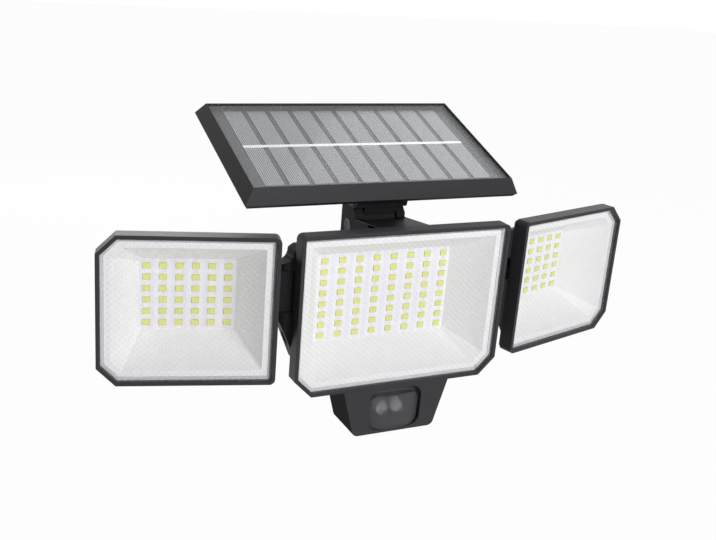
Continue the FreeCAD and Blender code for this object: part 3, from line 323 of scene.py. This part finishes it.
# %% LED materials
GEL_GRAIN = (0.6 * MM, 0.01 * MM)
PACKAGE_GRAIN = (0.5 * MM, 0.01 * MM)
LED_GEL = grained_finish("phosphor_gel", "#d9de6a", "#e8ec88", patch=0.6 * MM,
                         roughness=(0.3, 0.4), grain=GEL_GRAIN, sockets={"IOR": SILICONE_IOR})
LED_PACKAGE = grained_finish("package_plastic_tinted", "#c6c88c", "#d4d69c", patch=1.0 * MM,
                             roughness=(0.4, 0.5), grain=PACKAGE_GRAIN, sockets={"IOR": EPOXY_IOR})
print("made", LED_GEL.name, LED_PACKAGE.name)

# %% [markdown]
# ## Solar panel surfaces
#
# Under the panel's glass lie ten cell strips, a tinned copper ribbon and a grey backing sheet.
# The cells' silvery grey is a painted reflection: a nitride-coated cell is dark, and the grey
# stands in for the pale surroundings mirrored in it. Its crystal patches, about 9 mm across, are
# the cells' own. The glass is low-iron float glass: nearly clear from above, mirror-like at a
# shallow angle and faintly wavy over 25 mm. The backing is a glass-fibre laminate with a weave
# of 0.8 mm. The etching of the cells, the rolling streaks of the ribbon and the grit of the
# fired silver paste are all under 0.1 mm, and are drawn at 0.3 to 0.5 mm so that they show.

# %% Panel materials
GLASS_IOR = 1.52
GLASS_WAVES = (25 * MM, 0.02 * MM)
NITRIDE_IOR = 1.6
CELL_ETCHING = (0.5 * MM, 0.002 * MM)
ROLLING_STREAKS = (0.5 * MM, 0.01 * MM)
PASTE_GRIT = (0.3 * MM, 0.01 * MM)
LAMINATE_WEAVE = (0.8 * MM, 0.003 * MM)


def panel_glass():
    """Float glass with faint waviness."""
    sockets = {"Base Color": linear("#dfe2e4"), "Alpha": 0.16, "Roughness": 0.08, "IOR": GLASS_IOR}
    material, tree, shader = new_finish("float_glass", sockets)
    raise_grain(tree, shader, add(tree, "ShaderNodeTexCoord"), *GLASS_WAVES)
    return material


PANEL_GLASS = panel_glass()
# the silvery grey tone is painted reflection of pale surroundings; the 9 mm patches are the cells' crystals
CELL_PATCHES_PAINTED_REFLECTION = grained_finish("silicon_nitride_coated", "#95989c", "#9ea1a5", patch=9 * MM,
                              roughness=(0.25, 0.35), grain=CELL_ETCHING,
                              sockets={"IOR": NITRIDE_IOR})
RIBBON_TIN = grained_finish("tinned_copper", "#fafaf8", "#ffffff", patch=1.2 * MM,
                            roughness=(0.45, 0.55), grain=ROLLING_STREAKS,
                            sockets={"Metallic": 1.0})
FINGER_SILVER = grained_finish("silver_paste", "#f0f1f2", "#f8f9fa", patch=0.8 * MM,
                               roughness=(0.45, 0.6), grain=PASTE_GRIT, sockets={"Metallic": 0.3})
BACKING = grained_finish("laminate_grey", "#56585c", "#5e6064", patch=14 * MM,
                         roughness=(0.4, 0.5), grain=LAMINATE_WEAVE, sockets={"IOR": EPOXY_IOR})
print("made", PANEL_GLASS.name, CELL_PATCHES_PAINTED_REFLECTION.name, RIBBON_TIN.name, FINGER_SILVER.name, BACKING.name)

# %% [markdown]
# ## Sensor cover, metal and electronics
#
# The motion sensor looks out through a thin cover of smoked polyethylene, which passes heat but
# blurs what lies behind it. A rough refracting shader gives the blur, and alpha lets part of the
# view through, because a cover that only refracts would leave the detectors in the dark. The
# detectors are cans with a matt nickel coat, drawn without a metal's shine so that they show as
# pale spots. Screws are steel with a black zinc coat, whose wear is drawn at 0.4 mm, coarser
# than it is. The control board is green solder mask on glass fibre, and the sensor's own board
# has a black mask, so that it doesn't show through the cover.

# %% Remaining materials
COVER_GRAIN = (0.9 * MM, 0.01 * MM)
# below the plastic's own 1.5, which keeps the detectors in their places
COVER_IOR = 1.2
COAT_WEAR = (0.4 * MM, 0.006 * MM)
FIBRE_WEAVE = (0.8 * MM, 0.01 * MM)


def inner_part(name, dark, light, roughness):
    """Plain moulded, coated or wrapped surface of a small or inner part."""
    return grained_finish(name, dark, light, patch=4 * MM, roughness=roughness, grain=MOULD_GRAIN,
                          sockets={"IOR": EPOXY_IOR})


SMOKED_COVER = grained_finish("polyethylene_smoked", "#8c8b90", "#949398", patch=6 * MM,
                              roughness=(0.26, 0.32), grain=COVER_GRAIN,
                              sockets={"IOR": COVER_IOR, "Transmission Weight": 0.7, "Alpha": 0.6,
                                       "Specular IOR Level": 0.1})
NICKEL_CAN = inner_part("nickel_matt_coat", "#e0dfdc", "#ecebe8", roughness=(0.4, 0.5))
BLACK_ZINC = grained_finish("zinc_black_steel", "#2e2e30", "#45454a", patch=1.5 * MM,
                            roughness=(0.3, 0.45), grain=COAT_WEAR, sockets={"Metallic": 1.0})
GREEN_BOARD = grained_finish("solder_mask_green", "#12401f", "#1b5a2c", patch=3 * MM,
                             roughness=(0.25, 0.4), grain=FIBRE_WEAVE, sockets={"IOR": EPOXY_IOR})
SEAL_RUBBER = inner_part("epdm_rubber", "#1a1a1b", "#232324", roughness=(0.6, 0.75))
CELL_WRAP = inner_part("pvc_wrap_green", "#1f6b5a", "#2a7d69", roughness=(0.25, 0.35))
COMPONENT_EPOXY = inner_part("epoxy_black", "#161617", "#202022", roughness=(0.4, 0.55))
BLACK_BOARD = inner_part("solder_mask_black", "#121214", "#1a1a1c", roughness=(0.3, 0.4))
print("materials in the file:", len(bpy.data.materials))

# %% [markdown]
# ## Which node has which slot and body
#
# The imported record lists every node with its material slot, and every body with its nodes. Two
# dictionaries made from it say what each piece below rides on and what finish it has. A few
# nodes have a finish of their own, because one slot covers several grades of moulding. The nodes
# left on that slot's finish are the rear parts, which are drawn darker with painted shade.

# %% Slots and bodies of the nodes
FINISHES = {
    "black_housing": REAR_ABS_PAINTED_SHADE, "grey_seal": GASKET, "white_reflector": REFLECTOR_WHITE,
    "white_board": BOARD_WHITE, "screw_steel": BLACK_ZINC, "black_rubber": SEAL_RUBBER,
    "cell_wrap": CELL_WRAP, "green_board": GREEN_BOARD, "component_black": COMPONENT_EPOXY,
    "button_grey": BUTTON_RUBBER, "smoked_lens": SMOKED_COVER, "detector_can": NICKEL_CAN,
    "panel_glass": PANEL_GLASS, "solar_cell": CELL_PATCHES_PAINTED_REFLECTION, "ribbon_silver": RIBBON_TIN,
    "panel_backing": BACKING,
}
NODE_FINISHES = {"panel_tray": FRAME_ABS, "sensor_housing": SENSOR_ABS,
                 "sensor_board": BLACK_BOARD}
NODE_FINISHES.update({lamp + "_front_frame": FRAME_ABS for lamp in TURNS})
SLOT_OF = {row["node"]: row["material_slot"] for row in frame["record"]["subparts"]}
BODY_OF = {node_name: body for body, node_names in frame["record"]["behaviour"]["bodies"].items()
           for node_name in node_names}


def finish_of(node_name):
    """Finish of a node: its lamp's lens, its own finish or that of its slot."""
    slot = SLOT_OF[node_name]
    if slot == "clear_lens":
        return LENSES[node_name.split("_")[0]]
    return NODE_FINISHES.get(node_name, FINISHES.get(slot))


for node_name, node in frame["nodes"].items():
    if finish_of(node_name):
        node.data.materials.clear()
        node.data.materials.append(finish_of(node_name))
print("nodes with a finish:", sum(1 for node_name in frame["nodes"] if finish_of(node_name)))

# %% [markdown]
# ## Rounded edges on the moulded parts
#
# A moulded edge is never razor sharp: the tool leaves a radius of a few tenths of a millimetre,
# and that radius draws the thin highlights that outline each part. The solids have sharp edges,
# so each visible part gets a copy whose loose triangles are welded, whose flat neighbours are
# joined, and whose edges are rounded by a Bevel modifier. The rounding only takes material away,
# so the copy stays inside its solid.

# %% Rounded copies
WELD = 0.002 * MM
FLAT_ANGLE = math.radians(1.0)
EDGE_ANGLE = math.radians(32)


def clean_mesh(node_name):
    """A node's mesh welded, with flat triangles joined and no stored normals."""
    mesh = frame["nodes"][node_name].data.copy()
    if "custom_normal" in mesh.attributes:
        mesh.attributes.remove(mesh.attributes["custom_normal"])
    shell = bmesh.new()
    shell.from_mesh(mesh)
    bmesh.ops.remove_doubles(shell, verts=shell.verts, dist=WELD)
    bmesh.ops.join_triangles(shell, faces=shell.faces, angle_face_threshold=FLAT_ANGLE,
                             angle_shape_threshold=math.pi)
    return mesh, shell


def show(name, mesh):
    """Puts a mesh in the scene as an object at the origin."""
    piece = bpy.data.objects.new(name, mesh)
    bpy.context.scene.collection.objects.link(piece)
    return piece


def made_plain(piece):
    """Gives a piece the plain mesh that its modifier makes, and removes the modifier."""
    view = bpy.context.evaluated_depsgraph_get()
    mesh = bpy.data.meshes.new_from_object(piece.evaluated_get(view))
    piece.modifiers.clear()
    piece.data = mesh
    return piece


def rounded(piece, radius, steps=2):
    """Rounds a piece's edges and keeps its flat faces flat to the eye."""
    piece.data.shade_smooth()
    bevel = piece.modifiers.new("edge_radius", "BEVEL")
    bevel.width = radius
    bevel.segments = steps
    bevel.limit_method = "ANGLE"
    bevel.angle_limit = EDGE_ANGLE
    bevel.use_clamp_overlap = False
    bevel.loop_slide = False
    bevel.harden_normals = True
    return made_plain(piece)


def stand_for(piece, node_name):
    """A piece stands in for a node: it rides on the node's body, and the node is hidden."""
    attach(piece, BODY_OF[node_name])
    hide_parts(node_name)


EDGE_RADII = {
    0.5 * MM: [lamp + "_housing" for lamp in TURNS]
              + ["sensor_housing", "panel_foot", "back_cover", "wall_plate", "left_knuckle",
                 "right_knuckle"],
    0.35 * MM: [lamp + "_front_frame" for lamp in TURNS]
               + ["panel_tray", "panel_back_cover", "sensor_lens", "mode_button"],
    0.2 * MM: ["panel_hinge_bolt", "panel_hinge_nut", "wall_hinge_bolt", "wall_hinge_nut",
               "left_hinge_pin", "right_hinge_pin"],
}
for radius, node_names in EDGE_RADII.items():
    for node_name in node_names:
        mesh, shell = clean_mesh(node_name)
        shell.to_mesh(mesh)
        shell.free()
        stand_for(rounded(show(node_name + "_moulded", mesh), radius), node_name)
print("rounded parts:", sum(len(node_names) for node_names in EDGE_RADII.values()))

# %% [markdown]
# ## Helpers for node trees
#
# LEDs, screws and the printed lines of the cells repeat. Each could be a separate mesh, but a
# Geometry Nodes tree that puts one pattern on a set of points keeps them all alike and is easy
# to change. Two helpers serve every such tree. One opens an empty tree with named inputs. The
# other runs a tree on a set of points, setting each input by its identifier before the object is
# first evaluated, and keeps the result as a plain mesh.

# %% Tree helpers
def tree_with_inputs(name, inputs):
    """An empty geometry tree with the named inputs and one output."""
    tree = bpy.data.node_groups.new(name, "GeometryNodeTree")
    sockets = {}
    for socket_name, kind in inputs.items():
        socket = tree.interface.new_socket(socket_name, in_out="INPUT",
                                           socket_type="NodeSocket" + kind)
        sockets[socket_name] = socket.identifier
    tree.interface.new_socket("Geometry", in_out="OUTPUT", socket_type="NodeSocketGeometry")
    return tree, sockets


def made_by_tree(name, places, tree, sockets, values):
    """A plain mesh piece, made by running a tree on points at the given places."""
    points = bpy.data.meshes.new(name + "_places")
    points.from_pydata([tuple(place) for place in places], [], [])
    piece = show(name, points)
    modifier = piece.modifiers.new(tree.name, "NODES")
    modifier.node_group = tree
    for socket_name, value in values.items():
        modifier[sockets[socket_name]] = value
    return made_plain(piece)


print("tree helpers ready")

# %% [markdown]
# ## A tree that sets one pattern piece at many places
#
# The tree's inputs are the pattern piece, its turn and two finishes: one for the whole piece and
# one for faces marked as its window. It ends by making the copies real and giving them their
# finishes, so that they export as plain meshes.

# %% Repeat tree
WINDOW = "window"


def repeat_tree():
    """Tree that repeats a pattern piece at each point."""
    tree, sockets = tree_with_inputs(
        "repeat_at_places", {"Places": "Geometry", "Pattern": "Object", "Turn": "Vector",
                             "Finish": "Material", "Window finish": "Material"})
    given = add(tree, "NodeGroupInput")
    pattern = add(tree, "GeometryNodeObjectInfo", links={"Object": given.outputs["Pattern"]})
    turn = add(tree, "FunctionNodeEulerToRotation", links={"Euler": given.outputs["Turn"]})
    copies = add(tree, "GeometryNodeInstanceOnPoints",
                 links={"Points": given.outputs["Places"], "Instance": pattern.outputs["Geometry"],
                        "Rotation": turn.outputs["Rotation"]})
    real = add(tree, "GeometryNodeRealizeInstances",
               links={"Geometry": copies.outputs["Instances"]})
    marked = add(tree, "GeometryNodeInputNamedAttribute", {"data_type": "BOOLEAN", "Name": WINDOW})
    whole = add(tree, "GeometryNodeSetMaterial",
                links={"Geometry": real.outputs["Geometry"], "Material": given.outputs["Finish"]})
    window = add(tree, "GeometryNodeSetMaterial",
                 links={"Geometry": whole.outputs["Geometry"],
                        "Selection": marked.outputs["Attribute"],
                        "Material": given.outputs["Window finish"]})
    add(tree, "NodeGroupOutput", links={"Geometry": window.outputs["Geometry"]})
    return tree, sockets


REPEAT_TREE, REPEAT_SOCKETS = repeat_tree()


def repeated(name, pattern, places, turn, finish, window_finish):
    """One mesh piece with the pattern at every place; the pattern object is then removed."""
    piece = made_by_tree(name, places, REPEAT_TREE, REPEAT_SOCKETS,
                         {"Pattern": pattern, "Turn": turn, "Finish": finish,
                          "Window finish": window_finish})
    bpy.data.objects.remove(pattern)
    return piece


print("repeat tree has", len(REPEAT_TREE.nodes), "nodes")

# %% [markdown]
# ## Where the copies go
#
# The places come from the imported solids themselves. A node that holds a set of LEDs or screws is
# one mesh, so it is first split into its separate solids by walking along the edges, and the
# middle of each solid's box is one place.

# %% Places of a set
def centre(vertices):
    """Middle of the box round some vertices."""
    low = Vector(min(vertex.co[axis] for vertex in vertices) for axis in range(3))
    high = Vector(max(vertex.co[axis] for vertex in vertices) for axis in range(3))
    return (low + high) / 2


def solids_in(shell):
    """Groups of joined vertices, one for each separate solid, sorted by place."""
    waiting = set(shell.verts)
    groups = []
    while waiting:
        group = {waiting.pop()}
        newest = list(group)
        while newest:
            found = {link.other_vert(vertex) for vertex in newest for link in vertex.link_edges}
            newest = [vertex for vertex in found if vertex in waiting]
            waiting.difference_update(newest)
            group.update(newest)
        groups.append(sorted(group, key=lambda vertex: vertex.index))
    return sorted(groups, key=lambda group: tuple(round(value, 5) for value in centre(group)))


def places_of(node_name):
    """Centre of each solid in a node."""
    mesh, shell = clean_mesh(node_name)
    centres = [centre(group) for group in solids_in(shell)]
    shell.free()
    bpy.data.meshes.remove(mesh)
    return centres


LED_PLACES = {lamp: places_of(lamp + "_leds") for lamp in TURNS}
print("LEDs in each lamp:", {lamp: len(places) for lamp, places in LED_PLACES.items()})

# %% [markdown]
# ## LEDs on their boards
#
# The pattern is one package: a chamfered block whose front face is inset and pushed back to make
# the window. It faces -Y, and in a side lamp it turns with the lamp. The windows take most of
# the face, as the gel does on a large package.

# %% LED pattern and grids
LED_SIZE = Vector((5.2, 0.8, 4.2)) * MM
LED_CHAMFER = 0.12 * MM
LED_RIM = 0.08 * MM
LED_WINDOW_SLOPE = 0.06 * MM
LED_WINDOW_DEPTH = 0.10 * MM


def led_pattern():
    """One LED package with its window marked."""
    shell = bmesh.new()
    layer = shell.faces.layers.bool.new(WINDOW)
    bmesh.ops.create_cube(shell, size=1.0)
    bmesh.ops.scale(shell, vec=LED_SIZE, verts=shell.verts)
    front = min(shell.faces, key=lambda face: face.calc_center_median().y)
    bmesh.ops.bevel(shell, geom=list(front.edges), offset=LED_CHAMFER, segments=1, affect="EDGES")
    front = min(shell.faces, key=lambda face: face.calc_center_median().y)
    bmesh.ops.inset_region(shell, faces=[front], thickness=LED_RIM, depth=0.0)
    bmesh.ops.inset_region(shell, faces=[front], thickness=LED_WINDOW_SLOPE,
                           depth=-LED_WINDOW_DEPTH)
    front[layer] = True
    mesh = bpy.data.meshes.new("led_pattern")
    shell.to_mesh(mesh)
    shell.free()
    return show("led_pattern", mesh)


for lamp, turn in TURNS.items():
    grid = repeated(lamp + "_led_grid", led_pattern(), LED_PLACES[lamp], (0, 0, turn), LED_PACKAGE,
                    LED_GEL)
    stand_for(grid, lamp + "_leds")
    print(lamp, "LED faces:", len(grid.data.polygons))

# %% [markdown]
# ## Screws
#
# The screws of one set are all alike and lie the same way, so the first solid of each set is cut
# out, its edges are softened, and it is repeated at the centres of them all. Rolled threads and
# a pressed cross are hidden in the plastic or already in the solid.

# %% Screw sets
SCREW_SETS = ("middle_frame_screws", "left_frame_screws", "right_frame_screws",
              "back_cover_screws", "sensor_screws", "panel_cover_screws", "panel_foot_screws")
SCREW_EDGE = 0.15 * MM


def first_solid(node_name):
    """The first solid of a node, centred on the origin, as a pattern piece."""
    mesh, shell = clean_mesh(node_name)
    groups = solids_in(shell)
    middle = centre(groups[0])
    spare = [vertex for group in groups[1:] for vertex in group]
    bmesh.ops.delete(shell, geom=spare, context="VERTS")
    bmesh.ops.translate(shell, vec=-middle, verts=shell.verts)
    shell.to_mesh(mesh)
    shell.free()
    return rounded(show(node_name + "_pattern", mesh), SCREW_EDGE, 1)


for node_name in SCREW_SETS:
    places = places_of(node_name)
    screws = repeated(node_name + "_set", first_solid(node_name), places, (0, 0, 0), BLACK_ZINC,
                      BLACK_ZINC)
    stand_for(screws, node_name)
    print(node_name, len(places), "faces:", len(screws.data.polygons))

# %% [markdown]
# ## Silver fingers on the solar cells
#
# Each cell strip carries fine printed silver lines that run along it. The real panel has eight
# to a strip, about 1.8 mm apart. Ten are laid here, 1.42 mm apart, which is closer. They could be
# a stripe pattern in the cells' material, but the lines stand on the surface and catch the light,
# so a second node tree lays thin bars at a steady spacing. They are made in the panel's own level
# frame and then tilted with it. Real fingers are 0.1 mm wide. These are 0.4 mm, so that they
# show.

# %% Finger tree and fingers
PANEL_SLOPE = math.radians(18.9)
PANEL_HINGE = next(Vector(joint["pos_m"]) for joint in frame["joints"]
                   if joint["name"] == "panel_tilt")
# in the panel's own level frame: its hinge, the middle of the cells and their top face
PANEL_HINGE_INSIDE = Vector((0, -47.0, -41.7)) * MM
CELL_SHIFT = 1.8 * MM
CELL_TOP = -4.2 * MM
PANEL_PLACE = (Matrix.Translation(PANEL_HINGE) @ Matrix.Rotation(PANEL_SLOPE, 4, "X")
               @ Matrix.Translation(-PANEL_HINGE_INSIDE))
CELL_COUNT = 10
CELL_PITCH = 18.3 * MM
FINGERS_PER_CELL = 10
FINGER_PITCH = 1.42 * MM
FINGER_SIZE = Vector((0.4, 99.0, 0.06)) * MM


def finger_tree():
    """Tree that lays bars along Y, a given number at a given pitch, on every cell."""
    tree, sockets = tree_with_inputs(
        "cell_fingers", {"Cells": "Geometry", "Fingers": "Int", "Pitch": "Float",
                         "Bar size": "Vector", "Finish": "Material"})
    given = add(tree, "NodeGroupInput")
    bar = add(tree, "GeometryNodeMeshCube", links={"Size": given.outputs["Bar size"]})
    step = add(tree, "ShaderNodeCombineXYZ", links={"X": given.outputs["Pitch"]})
    row = add(tree, "GeometryNodeMeshLine", {"mode": "OFFSET"},
              {"Count": given.outputs["Fingers"], "Offset": step.outputs["Vector"]})
    bars = add(tree, "GeometryNodeInstanceOnPoints",
               links={"Points": row.outputs["Mesh"], "Instance": bar.outputs["Mesh"]})
    cells = add(tree, "GeometryNodeInstanceOnPoints",
                links={"Points": given.outputs["Cells"], "Instance": bars.outputs["Instances"]})
    real = add(tree, "GeometryNodeRealizeInstances",
               links={"Geometry": cells.outputs["Instances"]})
    finish = add(tree, "GeometryNodeSetMaterial",
                 links={"Geometry": real.outputs["Geometry"], "Material": given.outputs["Finish"]})
    add(tree, "NodeGroupOutput", links={"Geometry": finish.outputs["Geometry"]})
    return tree, sockets


def cell_fingers():
    """All fingers of the panel as one mesh on the cells."""
    middle_cell = (CELL_COUNT - 1) / 2
    first_finger = -(FINGERS_PER_CELL - 1) / 2 * FINGER_PITCH
    starts = [((cell - middle_cell) * CELL_PITCH + first_finger, CELL_SHIFT,
               CELL_TOP + FINGER_SIZE.z / 2) for cell in range(CELL_COUNT)]
    piece = made_by_tree("panel_cell_fingers", starts, *finger_tree(),
                         {"Fingers": FINGERS_PER_CELL, "Pitch": FINGER_PITCH,
                          "Bar size": FINGER_SIZE, "Finish": FINGER_SILVER})
    piece.data.transform(PANEL_PLACE)
    return piece


fingers = cell_fingers()
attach(fingers, "solar_panel")
print("finger faces:", len(fingers.data.polygons))

# %% [markdown]
# ## Studio
#
# The light hangs in a plain white studio: a pale floor well below it and a white surround. Both
# show white to the camera, in reflections and through the sensor's cover, while the surround
# lights the object only softly and the floor keeps a soft shadow. A large soft lamp in front
# models the shapes, from a little to the right so that faces towards the left stay dark, and a
# weak one fills from the left. A third, behind and to the right, gives the panel its sheen, and
# a fourth lights the back and the upper edges.

# %% Floor, surround and lamps
FLOOR_DROP = 0.22
FLOOR_HALF = 6.0
FLOOR_GLOW = 0.97
SURROUND_LIGHT = 0.16
WHITE = linear("#ffffff")
LAMP_AIM = Vector((0, -0.12, 0.05))


def seen_directly(tree):
    """1 for camera, glossy and transmitted rays, and 0 for the rays that carry light."""
    rays = add(tree, "ShaderNodeLightPath")
    gloss = add(tree, "ShaderNodeMath", {"operation": "MAXIMUM"},
                {0: rays.outputs["Is Camera Ray"], 1: rays.outputs["Is Glossy Ray"]})
    seen = add(tree, "ShaderNodeMath", {"operation": "MAXIMUM"},
               {0: gloss.outputs[0], 1: rays.outputs["Is Transmission Ray"]})
    return seen.outputs[0]


def white_floor():
    """Pale floor that looks white but keeps a soft shadow."""
    material = bpy.data.materials.new("studio_floor")
    material.use_nodes = True
    tree = material.node_tree
    tree.nodes.clear()
    matt = add(tree, "ShaderNodeBsdfDiffuse", {"Color": linear("#f2f2f2")})
    glow = add(tree, "ShaderNodeEmission", {"Color": WHITE, "Strength": 1.0})
    share = add(tree, "ShaderNodeMath", {"operation": "MULTIPLY", 1: FLOOR_GLOW},
                {0: seen_directly(tree)})
    both = add(tree, "ShaderNodeMixShader",
               links={0: share.outputs[0], 1: matt.outputs[0], 2: glow.outputs[0]})
    add(tree, "ShaderNodeOutputMaterial", links={"Surface": both.outputs[0]})
    return material


def studio_floor():
    """Flat floor under the object."""
    low = CAD_BOX[0][2] - FLOOR_DROP
    corners = [(-FLOOR_HALF, -FLOOR_HALF, low), (FLOOR_HALF, -FLOOR_HALF, low),
               (FLOOR_HALF, FLOOR_HALF, low), (-FLOOR_HALF, FLOOR_HALF, low)]
    mesh = bpy.data.meshes.new("studio_floor")
    mesh.from_pydata(corners, [], [(0, 1, 2, 3)])
    mesh.materials.append(white_floor())
    show("studio_floor", mesh)


def white_surround():
    """World that is white to the camera, in gloss and through glass, and lights softly."""
    world = bpy.data.worlds.new("studio")
    world.use_nodes = True
    tree = world.node_tree
    tree.nodes.clear()
    soft = add(tree, "ShaderNodeBackground", {"Color": WHITE, "Strength": SURROUND_LIGHT})
    white = add(tree, "ShaderNodeBackground", {"Color": WHITE, "Strength": 1.0})
    both = add(tree, "ShaderNodeMixShader",
               links={0: seen_directly(tree), 1: soft.outputs[0], 2: white.outputs[0]})
    add(tree, "ShaderNodeOutputWorld", links={"Surface": both.outputs[0]})
    bpy.context.scene.world = world


def soft_lamp(name, place, size, power):
    """Square soft lamp that points at the object."""
    data = bpy.data.lights.new(name, "AREA")
    data.size = size
    data.energy = power
    lamp = bpy.data.objects.new(name, data)
    lamp.location = place
    lamp.rotation_euler = (LAMP_AIM - Vector(place)).to_track_quat("-Z", "Y").to_euler()
    bpy.context.scene.collection.objects.link(lamp)


studio_floor()
white_surround()
soft_lamp("key_lamp", place=(0.24, -1.55, 0.62), size=0.7, power=15.2)
soft_lamp("fill_lamp", place=(-0.9, -1.2, 0.3), size=0.9, power=0.8)
soft_lamp("back_lamp", place=(1.05, 0.75, 1.15), size=0.8, power=3.0)
soft_lamp("wall_lamp", place=(0.1, 1.5, 0.4), size=0.8, power=6.0)
print("studio ready, lamps:", len(bpy.data.lights))

# %% [markdown]
# ## Size of the solids
#
# The dressed model has to stay inside the box of its solids, so the box of the solids is
# printed.

print("CAD box:", [[round(value, 4) for value in corner] for corner in CAD_BOX])
